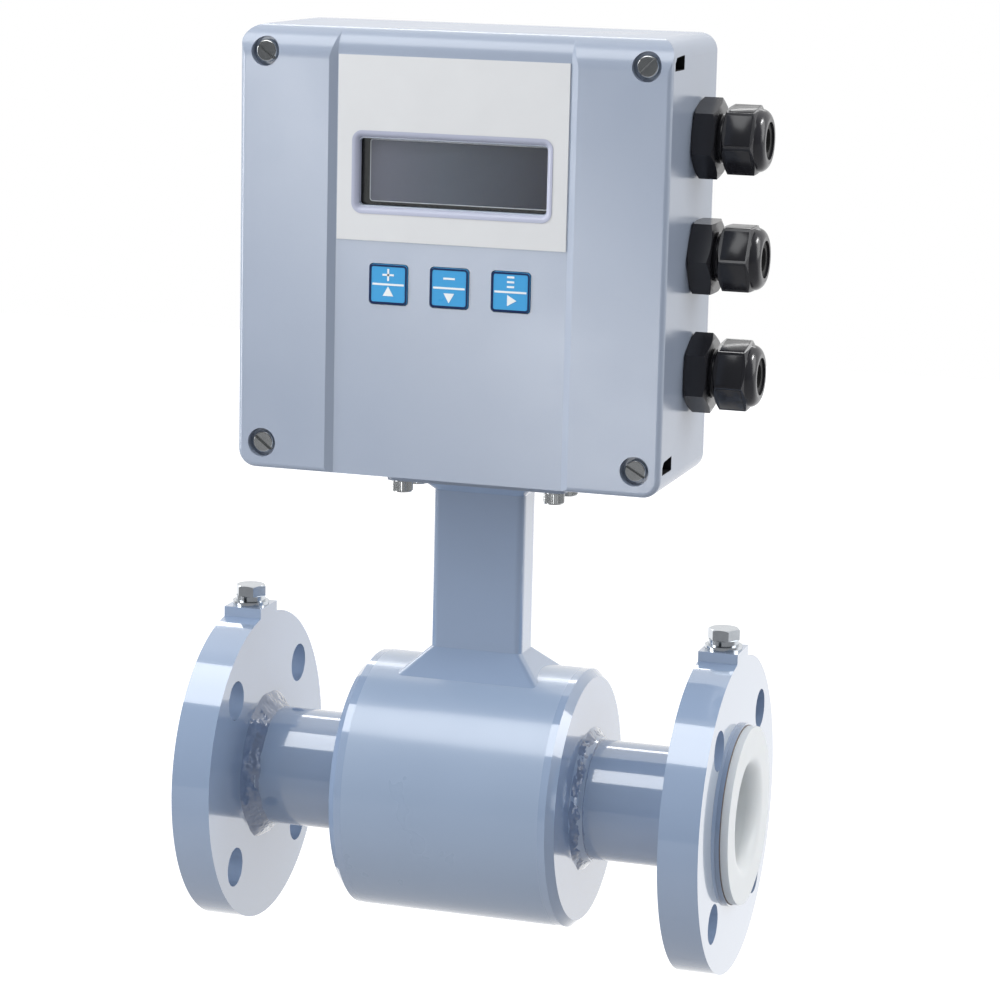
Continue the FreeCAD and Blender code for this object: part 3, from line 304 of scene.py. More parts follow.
class Graph:
    """A node tree, with short calls to add nodes and to join their sockets."""

    def __init__(self, tree: bpy.types.NodeTree) -> None:
        """Work on a tree."""
        self.tree = tree

    def add(self, kind: str, operation: str = "", **values: object) -> bpy.types.Node:
        """Add a node.

        Args:
            kind: Its type, without the word that all shader nodes start with.
            operation: What a maths node works out.
            **values: Values for its sockets, with an underscore for each space in a name.

        Returns:
            The new node.
        """
        node = self.tree.nodes.new("ShaderNode" + kind)
        if operation:
            node.operation = operation
        for name, value in values.items():
            node.inputs[name.replace("_", " ")].default_value = value
        return node

    def join(self, *pairs: tuple[bpy.types.NodeSocket, bpy.types.NodeSocket]) -> None:
        """Join each output to its input."""
        for source, target in pairs:
            self.tree.links.new(source, target)

    def ramp(self, source: bpy.types.NodeSocket,
             stops: list[tuple[float, Triple]]) -> bpy.types.NodeSocket:
        """Turn a value into a colour.

        Args:
            source: The value.
            stops: Places along the ramp with their linear colours.

        Returns:
            The socket with the colour.
        """
        node = self.add("ValToRGB")
        marks = node.color_ramp.elements
        while len(marks) < len(stops):
            marks.new(0.5)
        for mark, (place, colour) in zip(marks, stops):
            mark.position = place
            mark.color = (*colour, 1.0)
        self.join((source, node.inputs["Fac"]))
        return node.outputs["Color"]

    def seen_white(self, where: bpy.types.NodeSocket, near: float,
                   far: float) -> bpy.types.NodeSocket:
        """Tell the rays that see the white surroundings: the camera's, and glossy ones behind.

        Args:
            where: The socket with the place or direction that a ray meets.
            near: How far back the surroundings start to whiten for glossy rays.
            far: How far back they are all white for them.

        Returns:
            The socket that is 1 for such a ray and 0 for any other.
        """
        path, split = self.add("LightPath"), self.add("SeparateXYZ")
        behind = self.add("MapRange", From_Min=near, From_Max=far)
        glossy, seen = self.add("Math", "MULTIPLY"), self.add("Math", "MAXIMUM")
        self.join((where, split.inputs["Vector"]),
                  (split.outputs["Y"], behind.inputs["Value"]),
                  (path.outputs["Is Glossy Ray"], glossy.inputs[0]),
                  (behind.outputs["Result"], glossy.inputs[1]),
                  (path.outputs["Is Camera Ray"], seen.inputs[0]),
                  (glossy.outputs["Value"], seen.inputs[1]))
        return seen.outputs["Value"]


class Recipe(Graph):
    """A material's node tree, with the moves that the finishes share."""

    noise_low = 0.15
    noise_high = 0.85

    def __init__(self, name: str) -> None:
        """Start a material with a plain Principled surface.

        Args:
            name: The material's name.
        """
        self.result = bpy.data.materials.new(name)
        self.result.use_nodes = True
        super().__init__(self.result.node_tree)
        self.surface = self.tree.nodes["Principled BSDF"]
        self.where = self.add("TexCoord").outputs["Object"]

    def put(self, **values: object) -> None:
        """Set the surface's own sockets, with an underscore for each space in a name."""
        for name, value in values.items():
            self.surface.inputs[name.replace("_", " ")].default_value = value

    def noise(self, per_metre: float, detail: float = 3.0,
              stretch: Triple | None = None) -> bpy.types.NodeSocket:
        """A noise pattern that sits still on the object.

        Args:
            per_metre: How many lumps there are in a metre.
            detail: How many finer layers it has.
            stretch: Scale along X, Y and Z, where it isn't even.

        Returns:
            The socket with the pattern's value.
        """
        node = self.add("TexNoise", Scale=per_metre, Detail=detail)
        place = self.where
        if stretch is not None:
            mapping = self.add("Mapping", Scale=stretch)
            self.join((place, mapping.inputs["Vector"]))
            place = mapping.outputs["Vector"]
        self.join((place, node.inputs["Vector"]))
        return node.outputs["Fac"]

    def shades(self, source: bpy.types.NodeSocket, stops: list[tuple[float, Triple]]) -> None:
        """Colour the surface by a value, along a ramp of linear colours."""
        self.join((self.ramp(source, stops), self.surface.inputs["Base Color"]))

    def mottle(self, colour: Triple, per_metre: float, shares: tuple[float, float],
               ends: tuple[float, float] = (0.3, 0.7)) -> None:
        """Let the surface's colour wander a little about its own.

        Args:
            colour: The colour as it looks on a screen.
            per_metre: How many clouds there are in a metre.
            shares: The darkest and the lightest shade, as shares of the colour.
            ends: The values of the noise that those two belong to.
        """
        base = linear(colour)
        stops = [(end, tint(base, share)) for end, share in zip(ends, shares)]
        self.shades(self.noise(per_metre), stops)

    def gloss(self, source: bpy.types.NodeSocket, low: float, high: float) -> None:
        """Let the roughness follow a noise.

        Args:
            source: The noise.
            low: The roughness where the noise is low.
            high: The roughness where it is high.
        """
        spread = self.add("MapRange", From_Min=self.noise_low, From_Max=self.noise_high,
                          To_Min=low, To_Max=high)
        self.join((source, spread.inputs["Value"]),
                  (spread.outputs["Result"], self.surface.inputs["Roughness"]))

    def bump(self, source: bpy.types.NodeSocket, height: float) -> None:
        """Raise the surface by a value, on top of any earlier bump.

        Args:
            source: The height pattern.
            height: Its height in metres.
        """
        node = self.add("Bump", Distance=height, Strength=1.0)
        normal = self.surface.inputs["Normal"]
        if normal.is_linked:
            self.join((normal.links[0].from_socket, node.inputs["Normal"]))
        self.join((source, node.inputs["Height"]), (node.outputs["Normal"], normal))


@dataclass(frozen=True)
class Finish:
    """What a surface is made of or coated with; each kind writes its own nodes.

    Heights are in metres; waves, clouds and the like are given in numbers to a metre.
    """

    name: str
    colour: Triple

    def material(self) -> bpy.types.Material:
        """The finish as a material, made once and then shared."""
        found = bpy.data.materials.get(self.name)
        if found is not None:
            return found
        recipe = Recipe(self.name)
        recipe.put(Base_Color=(*linear(self.colour), 1.0))
        self.write(recipe)
        return recipe.result

    def write(self, recipe: Recipe) -> None:
        """Write the nodes of this finish; the plain finish has none."""


@dataclass(frozen=True)
class Paint(Finish):
    """Sprayed paint: slight flow waves, a little dust and uneven gloss."""

    roughness: float
    coat: float
    coat_roughness: float
    wave: float
    grain: float
    density: float
    clouds: float = 14.0
    patches: float = 40.0
    waves: float = 90.0
    grains: float = 2600.0

    def write(self, recipe: Recipe) -> None:
        """Vary the shade and gloss a little, and lay flow waves and grain in the film."""
        recipe.mottle(self.colour, self.clouds, (0.95, 1.05), ends=(0.1, 0.9))
        recipe.gloss(recipe.noise(self.patches),
                     self.roughness * 0.8, self.roughness * 1.22)
        recipe.put(IOR=self.density, Coat_IOR=self.density, Coat_Weight=self.coat,
                   Coat_Roughness=self.coat_roughness)
        recipe.bump(recipe.noise(self.waves, detail=2.0), self.wave)
        recipe.bump(recipe.noise(self.grains, detail=2.0), self.grain)


@dataclass(frozen=True)
class PaintedWeld(Finish):
    """Glossy paint over a rough weld bead, its colour wandering a little at random."""

    clouds: float = 300.0
    pits: float = 700.0
    pit: float = 0.08 * MM
    density: float = 1.7

    def write(self, recipe: Recipe) -> None:
        """Lay the pits of the bead under a glossy film."""
        recipe.mottle(self.colour, self.clouds, (0.86, 1.0))
        recipe.put(Roughness=0.2, IOR=self.density, Coat_IOR=self.density, Coat_Weight=1.0,
                   Coat_Roughness=0.04)
        recipe.bump(recipe.noise(self.pits, detail=2.0), self.pit)


@dataclass(frozen=True)
class Metal(Finish):
    """Bare or plated metal with fine turning or drawing marks."""

    roughness: float
    marks: Triple | None = None
    clouds: float = 400.0
    scratches: float = 1500.0
    mark_depth: float = 0.004 * MM

    def write(self, recipe: Recipe) -> None:
        """Make it metallic, with fine marks and uneven polish."""
        recipe.put(Metallic=1.0)
        recipe.mottle(self.colour, self.clouds, (0.94, 1.03))
        uneven = recipe.noise(self.scratches, stretch=self.marks)
        recipe.gloss(uneven, self.roughness * 0.85, self.roughness * 1.2)
        recipe.bump(uneven, self.mark_depth)


@dataclass(frozen=True)
class Plastic(Finish):
    """Moulded plastic, rubber, film or lacquer with a faint texture."""

    roughness: float
    texture: float = 0.008 * MM
    lumps: float = 1800.0
    coat: float = 0.0
    shine: float = 0.5
    clouds: float = 60.0
    patches: float = 300.0

    def write(self, recipe: Recipe) -> None:
        """Vary the shade and gloss faintly, over a fine texture."""
        recipe.mottle(self.colour, self.clouds, (0.985, 1.015))
        recipe.gloss(recipe.noise(self.patches),
                     self.roughness * 0.85, self.roughness * 1.2)
        recipe.put(Coat_Weight=self.coat, Specular_IOR_Level=self.shine)
        recipe.bump(recipe.noise(self.lumps, detail=2.0), self.texture)


@dataclass(frozen=True)
class Lining(Finish):
    """White fluoroplastic that lets a little light into its surface."""

    clouds: float = 60.0
    lumps: float = 400.0
    lump: float = 0.03 * MM
    reach: float = 4.0 * MM

    def write(self, recipe: Recipe) -> None:
        """Soft waxy gloss with a little light inside."""
        recipe.mottle(self.colour, self.clouds, (0.97, 1.0))
        recipe.put(Roughness=0.34, Subsurface_Weight=0.25, Subsurface_Scale=self.reach,
                   Subsurface_Radius=(1.0, 0.9, 0.8))
        recipe.bump(recipe.noise(self.lumps, detail=2.0), self.lump)


@dataclass(frozen=True)
class Pane(Finish):
    """Clear acrylic."""

    wipes: float = 50.0

    def write(self, recipe: Recipe) -> None:
        """Let the light through, with a hard gloss and a touch of wipe marks."""
        recipe.put(Transmission_Weight=1.0, IOR=1.45)
        recipe.gloss(recipe.noise(self.wipes), 0.0, 0.03)


@dataclass(frozen=True)
class Screen(Finish):
    """A switched-off liquid crystal panel with painted light and shade: light at the left,
    darkening to the right.
    """

    middle: Triple
    dark: Triple
    left: float
    right: float
    clouds: float = 25.0

    def write(self, recipe: Recipe) -> None:
        """Paint the light and shade across the panel, light at the left and dark at the right,
        under a satin film.
        """
        split = recipe.add("SeparateXYZ")
        across = recipe.add("MapRange", From_Min=self.left, From_Max=self.right)
        recipe.join((recipe.where, split.inputs["Vector"]),
                    (split.outputs["X"], across.inputs["Value"]))
        # painted light and shade: the colour runs from light at the left to dark at the right
        recipe.shades(across.outputs["Result"], [
            (0.05, linear(self.colour)), (0.45, linear(self.middle)), (0.95, linear(self.dark))])
        recipe.gloss(recipe.noise(self.clouds), 0.16, 0.24)


LINE_PAINT = Paint("line_enamel", (0.575, 0.648, 0.755), roughness=0.12, coat=1.0,
                   coat_roughness=0.02, wave=0.02 * MM, grain=0.001 * MM, density=1.75)
SHELL_PAINT = Paint("shell_enamel", (0.59, 0.66, 0.757), roughness=0.3, coat=1.0,
                    coat_roughness=0.17, wave=0.04 * MM, grain=0.003 * MM, density=1.6)
BOX_PAINT = Paint("box_enamel", (0.60, 0.642, 0.712), roughness=0.215, coat=0.0,
                  coat_roughness=0.2, wave=0.01 * MM, grain=0.005 * MM, density=1.75)
# Painted shade: the welds' enamel is made darker than the line's enamel that covers them.
SHADED_WELD_PAINT = PaintedWeld("weld_enamel", (0.44, 0.51, 0.63))
LINING = Lining("fluoroplastic_lining", (0.93, 0.945, 0.95))
ZINC = Metal("bright_zinc", (0.78, 0.80, 0.82), roughness=0.16)
STAINLESS = Metal("stainless_steel", (0.80, 0.81, 0.81), roughness=0.2)
NYLON = Plastic("black_nylon", (0.008, 0.008, 0.011), roughness=0.1, texture=0.002 * MM,
                lumps=900.0, shine=0.3)
# Painted shade: a near-black sheet laid inside the hinge notches, where there is only shade.
NOTCH_SHADE = Plastic("dark_recess_lining", (0.03, 0.03, 0.04), roughness=0.7)
FLARE_LINE = Plastic("tan_seal_edge", (0.42, 0.36, 0.33), roughness=0.55)
RUBBER = Plastic("black_rubber", (0.05, 0.05, 0.052), roughness=0.62)
LABEL = Plastic("grey_label_film", (0.87, 0.875, 0.88), roughness=0.42, texture=0.003 * MM,
                lumps=3200.0)
RIM = Plastic("lavender_window_rim", (0.72, 0.735, 0.81), roughness=0.3, texture=0.004 * MM)
GLAZING = Pane("clear_window_pane", (0.97, 0.98, 0.985))
# Black of the real display bezel, also used for the band of painted shade in the display's opening.
BEZEL_AND_RECESS_SHADE = Plastic("black_display_bezel", (0.03, 0.03, 0.035), roughness=0.4)
# Painted highlight: a pale line standing in for light caught on the cover glass's edge.
GLASS_EDGE_HIGHLIGHT = Plastic("frosted_panel_edge", (0.93, 0.94, 0.96), roughness=0.25)
KEY_BLUE = Plastic("blue_key_film", (0.28, 0.645, 0.87), roughness=0.3, texture=0.005 * MM,
                   lumps=2600.0, coat=0.15)
KEY_NAVY = Plastic("navy_key_border", (0.08, 0.16, 0.34), roughness=0.35)
KEY_WHITE = Plastic("white_key_print", (0.95, 0.96, 0.96), roughness=0.4)
BOARD = Plastic("green_board_lacquer", (0.05, 0.30, 0.16), roughness=0.25,
                texture=0.02 * MM, lumps=700.0)
SWITCH = Plastic("black_switch_body", (0.06, 0.06, 0.06), roughness=0.45)
TERMINAL = Plastic("grey_terminal_body", (0.45, 0.47, 0.47), roughness=0.5)
CORE = Metal("laminated_core", (0.30, 0.29, 0.28), roughness=0.5)
CAN = Metal("capacitor_can", (0.72, 0.72, 0.74), roughness=0.3)
COPPER = Metal("copper_winding", (0.72, 0.38, 0.18), roughness=0.3, marks=(1.0, 1.0, 12.0))
IRON = Metal("soft_iron", (0.34, 0.34, 0.35), roughness=0.45)
BUSH = Plastic("white_bush", (0.88, 0.88, 0.84), roughness=0.45)

SLOT_FINISHES = {
    "line_paint": LINE_PAINT,
    "box_paint": BOX_PAINT,
    "ptfe": LINING,
    "zinc_steel": ZINC,
    "stainless": STAINLESS,
    "black_nylon": NYLON,
    "black_rubber": RUBBER,
    "grey_label": LABEL,
    "clear_pane": GLAZING,
    "lcd_bezel": BEZEL_AND_RECESS_SHADE,
    "blue_key": KEY_BLUE,
    "green_board": BOARD,
    "black_plastic": SWITCH,
    "grey_plastic": TERMINAL,
    "transformer_iron": CORE,
    "can_aluminium": CAN,
    "copper_winding": COPPER,
    "soft_iron": IRON,
    "white_bush": BUSH,
}


def screen_finish() -> Screen:
    """The display panel's finish, with its painted light and shade spread over the panel's own
    width.
    """
    low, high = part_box("lcd_glass")
    return Screen("display_panel", (0.49, 0.495, 0.56), middle=(0.375, 0.405, 0.465),
                  dark=(0.14, 0.16, 0.24), left=low.x, right=high.x)


def dress_frame() -> None:
    """Give every modelled node the finish of its material slot."""
    finishes = dict(SLOT_FINISHES, lcd_grey=screen_finish())
    for row in frame["record"]["subparts"]:
        node = frame["nodes"][row["node"]]
        finish = SHELL_PAINT if row["node"] == "coil_shell" else finishes[row["material_slot"]]
        node.data.materials.clear()
        node.data.materials.append(finish.material())
        LOG.info("dressed %s in %s", row["node"], finish.name)


# ---------------- welds


@dataclass
class WeldFillets:
    """Hand-laid hollow fillet welds where the flow tube meets the end caps and the flanges."""

    solid_leg: float = 4.5 * MM
    flange_leg: float = 6.2 * MM
    cap_leg: float = 4.7 * MM
    overlap: float = 0.8 * MM
    overlap_swing: float = 0.8
    buried: float = 0.6 * MM
    hollow: float = 0.30
    lump: float = 0.5 * MM
    lump_length: float = 6.0 * MM
    spatter: float = 0.35 * MM
    spatter_length: float = 1.5 * MM
    ripple: float = 0.07 * MM
    ripple_pitch: float = 2.4 * MM
    ripple_bow: float = 2.5
    relief_share: float = 0.7
    face_share: float = 0.7
    segments: tuple[int, int] = (400, 28)

    def build(self) -> None:
        """Lay one weld at each of the four joints."""
        cap_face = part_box("end_cap_right")[1].x - self.solid_leg
        flange_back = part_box("flange_right")[0].x + self.solid_leg
        for side, away in (("right", 1.0), ("left", -1.0)):
            self.ring("weld_cap_" + side, cap_face * away, away, self.cap_leg)
        for side, away in (("right", 1.0), ("left", -1.0)):
            self.ring("weld_flange_" + side, flange_back * away, -away, self.flange_leg)

    def profile(self, share: float, leg: float) -> Vector:
        """A point of the weld's closed section.

        Args:
            share: How far round the section it is, from 0 to 1.
            leg: The weld's leg.

        Returns:
            Its distance from the face, and above the tube, as X and Y.
        """
        toe, root = Vector((leg, -self.buried)), Vector((-self.buried, leg))
        corner = Vector((-self.buried, -self.buried))
        if share < self.face_share:
            along = share / self.face_share
            pull = Vector((leg, leg)) * self.hollow
            return toe * (1 - along) ** 2 + pull * 2 * along * (1 - along) + root * along ** 2
        along = (share - self.face_share) / (1 - self.face_share)
        return root.lerp(corner, along * 2) if along < 0.5 else corner.lerp(toe, along * 2 - 1)

    def ring(self, name: str, face: float, away: float, leg: float) -> None:
        """One weld: a ring laid in the corner, drawn hollow, then rippled and lumped.

        Args:
            name: The weld's name.
            face: Where the face stands along the flow line.
            away: Which way the tube leaves the face, 1 or -1.
            leg: The weld's leg, before its overlap.
        """
        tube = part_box("flow_tube")[1].z
        weld = Bench.hoop(name, Vector((face, 0.0, 0.0)), tube, leg / 2, self.segments)
        for vertex in weld.data.vertices:
            turn = math.atan2(vertex.co.z, vertex.co.y)
            reach = math.hypot(vertex.co.y, vertex.co.z) - tube
            share = (math.atan2(reach, (vertex.co.x - face) * away) / (2 * math.pi)) % 1.0
            swing = self.overlap_swing * noise.noise(vertex.co / self.lump_length)
            at = self.profile(share, leg + self.overlap * (1.0 + swing))
            if share < self.face_share:
                at += Vector((1.0, 1.0)) * self.relief(vertex.co, turn * tube, share)
            radius = tube + at.y
            vertex.co = (face + at.x * away, math.cos(turn) * radius, math.sin(turn) * radius)
        Bench.open(weld)
        bpy.ops.mesh.normals_make_consistent(inside=False)
        Bench.close()
        Bench.smooth(weld, 70.0)
        finish_piece(weld, SHADED_WELD_PAINT, METER)

    def relief(self, at: Vector, along: float, share: float) -> float:
        """How far the weld's face stands proud at a point.

        Args:
            at: The point.
            along: The distance round the tube.
            share: How far across the section it is.

        Returns:
            The rise along each leg's direction, in metres.
        """
        across = share / self.face_share
        bow = (across - 0.5) ** 2 * self.ripple_bow
        scale = abs(math.sin(math.pi * (along / self.ripple_pitch + bow)))
        lumps = self.lump * noise.noise(at / self.lump_length)
        specks = self.spatter * noise.noise(at / self.spatter_length)
        middle = math.sin(math.pi * across)
        return middle * self.relief_share * (lumps + specks + self.ripple * scale)


# ---------------- front panel


@dataclass
class KeySigns:
    """The navy border and the white signs printed on each of the three keys."""

    cap_depth: float = 1.0 * MM
    border: float = 0.75 * MM
    border_inset: float = 0.1 * MM
    border_corner: float = 1.5 * MM
    film: float = 0.08 * MM
    bar_length: float = 12.6 * MM
    stroke: float = 0.75 * MM
    sign_size: float = 4.6 * MM
    sign_rise: float = 0.48
    dash_length: float = 2.852 * MM
    dash_pitch: float = 1.84 * MM
    dash_rise: float = 0.504
    arrow_radius: float = 2.464 * MM
    arrow_drop: float = 0.42

    def build(self) -> None:
        """Print all three keys."""
        for name, way in (("plus", Way.UP), ("minus", Way.DOWN), ("enter", Way.RIGHT)):
            low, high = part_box("key_" + name)
            centre = (low + high) / 2
            centre.y = low.y
            half = self.cap_half("key_" + name, centre)
            self.edge(name, centre, half)
            self.signs(name, centre, half, way)

    def cap_half(self, node: str, centre: Vector) -> float:
        """Half the cap's width, read from the key's front face.

        Args:
            node: The key's node.
            centre: The middle of its front.

        Returns:
            Half the width of the cap, in metres.
        """
        reach = centre.y + self.cap_depth
        front = [v.co for v in frame["nodes"][node].data.vertices if v.co.y < reach]
        return max(abs(co.x - centre.x) for co in front)

    def edge(self, name: str, centre: Vector, half: float) -> None:
        """The navy border: a rounded square with its middle taken out.

        Args:
            name: The key's name.
            centre: The middle of its front.
            half: Half the cap's width.
        """
        size = 2.0 * (half - self.border_inset)
        square = Outline(centre - Vector((0.0, 0.5 * self.film, 0.0)), (size, size),
                         self.border_corner, corner_segments=6)
        border = square.band("key_border_" + name, self.border, self.film)
        finish_piece(border, KEY_NAVY, name + "_button")

    def signs(self, name: str, centre: Vector, half: float, way: Way) -> None:
        """The white print: a sign over a bar over an arrow.

        Args:
            name: The key's name.
            centre: The middle of its front.
            half: Half the cap's width.
            way: Which way the arrow points.
        """
        at = centre - Vector((0.0, 0.5 * self.film, 0.0))
        above = at + Vector((0.0, 0.0, half * self.sign_rise))
        parts = [Bench.block("bar", (self.bar_length, self.film, self.stroke), at)]
        if name == "enter":
            for step in (-1.0, 0.0, 1.0):
                rise = half * self.dash_rise + step * self.dash_pitch
                parts.append(Bench.block("dash", (self.dash_length, self.film, self.stroke),
                                         at + Vector((0.0, 0.0, rise))))
        else:
            across = (self.sign_size, self.film, self.stroke)
            parts.append(Bench.block("across", across, above))
        if name == "plus":
            upright = (self.stroke, self.film, self.sign_size)
            parts.append(Bench.block("upright", upright, above))
        parts.append(self.arrow(at - Vector((0.0, 0.0, half * self.arrow_drop)), way))
        signs = Bench.join("key_signs_" + name, parts)
        finish_piece(signs, KEY_WHITE, name + "_button")

    def arrow(self, at: Vector, way: Way) -> bpy.types.Object:
        """A solid triangle.

        Args:
            at: Its centre.
            way: Which way it points.

        Returns:
            The triangle, settled.
        """
        Bench.clear()
        bpy.ops.mesh.primitive_cylinder_add(vertices=3, radius=self.arrow_radius, depth=self.film)
        arrow = bpy.context.object
        spin = Matrix.Rotation(math.radians(way.value), 4, "Y")
        arrow.matrix_world = Matrix.Translation(at) @ spin @ Matrix.Rotation(UPRIGHT[0], 4, "X")
        return Bench.settle(arrow)


@dataclass
class WindowRim:
    """The coved rim that leads from the label down to the display's opening."""

    size: tuple[float, float] = (79.5 * MM, 31.5 * MM)
    corner: float = 4.0 * MM
    stand: float = 0.15 * MM
    lip: float = 0.55 * MM
    margin: float = 2.5 * MM
    cove_steps: int = 5
    cove_share: float = 0.62
    foot_share: float = 0.36
    foot_run: float = 0.05 * MM

    def build(self) -> None:
        """Draw the rim's outer edge, step it inwards along a cove and open its middle."""
        low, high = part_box("display_window")
        label_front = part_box("label_plate")[0].y
        depth = low.y - label_front
        width = self.size[0] / 2 - ((high.x - low.x) / 2 - self.margin) - self.lip
        centre = (low + high) / 2
        centre.y = label_front - self.stand
        rim = Outline(centre, self.size, self.corner, corner_segments=10).sheet("window_rim")
        bpy.ops.mesh.inset(thickness=self.lip)
        for step in range(self.cove_steps):
            near, far = (math.pi / 2 * n / self.cove_steps for n in (step, step + 1))
            run = width * (math.sin(far) - math.sin(near))
            drop = depth * self.cove_share * (math.cos(near) - math.cos(far))
            bpy.ops.mesh.inset(thickness=run, depth=-drop)
        bpy.ops.mesh.inset(thickness=self.foot_run, depth=-depth * self.foot_share)
        bpy.ops.mesh.delete(type="FACE")
        Bench.close()
        Bench.smooth(rim, 50.0)
        finish_piece(rim, RIM, METER)


@dataclass
class ScreenSurround:
    """A black band of painted shade before the display panel, where the opening's inner walls lie
    in shade, and a pale line of painted highlight along the edge of its cover glass.
    """

    opening: tuple[float, float] = (74.4 * MM, 25.4 * MM)
    mask_left: float = 3.2 * MM
    mask_low: float = 1.3 * MM
    mask_high: float = 0.35 * MM
    mask_right: float = 0.1 * MM
    mask_width: float = 5.0 * MM
    mask_shift: float = 0.02 * MM
    line_shift: float = -0.04 * MM
    line_width: float = 0.32 * MM
    corner: float = 1.2 * MM
    film: float = 0.1 * MM

    def build(self) -> None:
        """Cut the band of painted shade and lay the painted highlight line just inside it."""
        low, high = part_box("display_window")
        middle_y = (high.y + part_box("lcd_glass")[0].y) / 2
        centre = (low + high) / 2
        half_wide, half_tall = self.opening[0] / 2, self.opening[1] / 2
        left, right = centre.x - half_wide + self.mask_left, centre.x + half_wide - self.mask_right
        foot, top = centre.z - half_tall + self.mask_low, centre.z + half_tall - self.mask_high
        # The first band is painted shade, widest at the left and the foot; the second is a painted
        # highlight.
        for name, finish, slot, shift, wide, grow in (
                ("display_mask", BEZEL_AND_RECESS_SHADE, "lcd_bezel", self.mask_shift, self.mask_width,
                 self.mask_width),
                ("glass_edge_line", GLASS_EDGE_HIGHLIGHT, "lcd_grey", self.line_shift, self.line_width, 0.0)):
            outline = Outline(
                Vector(((left + right) / 2, middle_y + shift, (foot + top) / 2)),
                (right - left + 2 * grow, top - foot + 2 * grow), self.corner + grow,
                corner_segments=8)
            finish_piece(outline.band(name, wide, self.film), finish, METER)


@dataclass
class NotchLinings:
    """Near-black sheets of painted shade inside the four hinge notches in the cover's side walls.
    """

    length: float = 13.7 * MM
    height: float = 5.5 * MM
    drop: float = 1.5 * MM
    depth: float = 4.0 * MM
    sunk: float = 0.1 * MM
    cut_corner: float = 2.0 * MM
    play: float = 0.04 * MM
    wall: float = 0.2 * MM
    screw_up: float = 75.5 * MM

    def build(self) -> None:
        """Put a sheet of painted shade in the notches of both sides, at both levels."""
        low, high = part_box("housing_cover")
        middle = (low.z + high.z) / 2
        for side, wall_at in (("right", high.x), ("left", low.x)):
            for level, up in (("upper", self.screw_up), ("lower", -self.screw_up)):
                self.lining("notch_" + side + "_" + level, wall_at, high.y, middle + up)

    def lining(self, name: str, wall_at: float, seam: float, level: float) -> None:
        """One sheet of painted shade: a block with a corner cut, opened outwards and given a thin
        wall.

        Args:
            name: The sheet's name.
            wall_at: The cover wall's outer face, along X.
            seam: The cover's rear edge, along Y.
            level: The height of the screw beside it.
        """
        away = math.copysign(1.0, wall_at)
        size = (self.depth - self.play, self.length - 2 * self.play, self.height - 2 * self.play)
        at = Vector((wall_at - away * (size[0] / 2 + self.sunk), seam - self.length / 2,
                     level - self.drop + self.height / 2))
        lining = Bench.block(name, size, at)
        near = at.y - size[1] / 2
        corners = lining.data.vertices
        Bench.pick(lining, Part.EDGE, lambda edge: all(
            abs(corners[end].co.y - near) < 1e-5 and corners[end].co.z > at.z
            for end in edge.vertices))
        bpy.ops.mesh.bevel(affect="EDGES", offset=self.cut_corner, segments=1)
        Bench.close()
        Bench.pick(lining, Part.FACE, lambda face: face.normal.x * away > 0.9)
        bpy.ops.mesh.delete(type="FACE")
        Bench.close()
        Bench.modify(lining, "SOLIDIFY", thickness=self.wall, offset=-1.0)
        finish_piece(lining, NOTCH_SHADE, METER)


# ---------------- cable glands


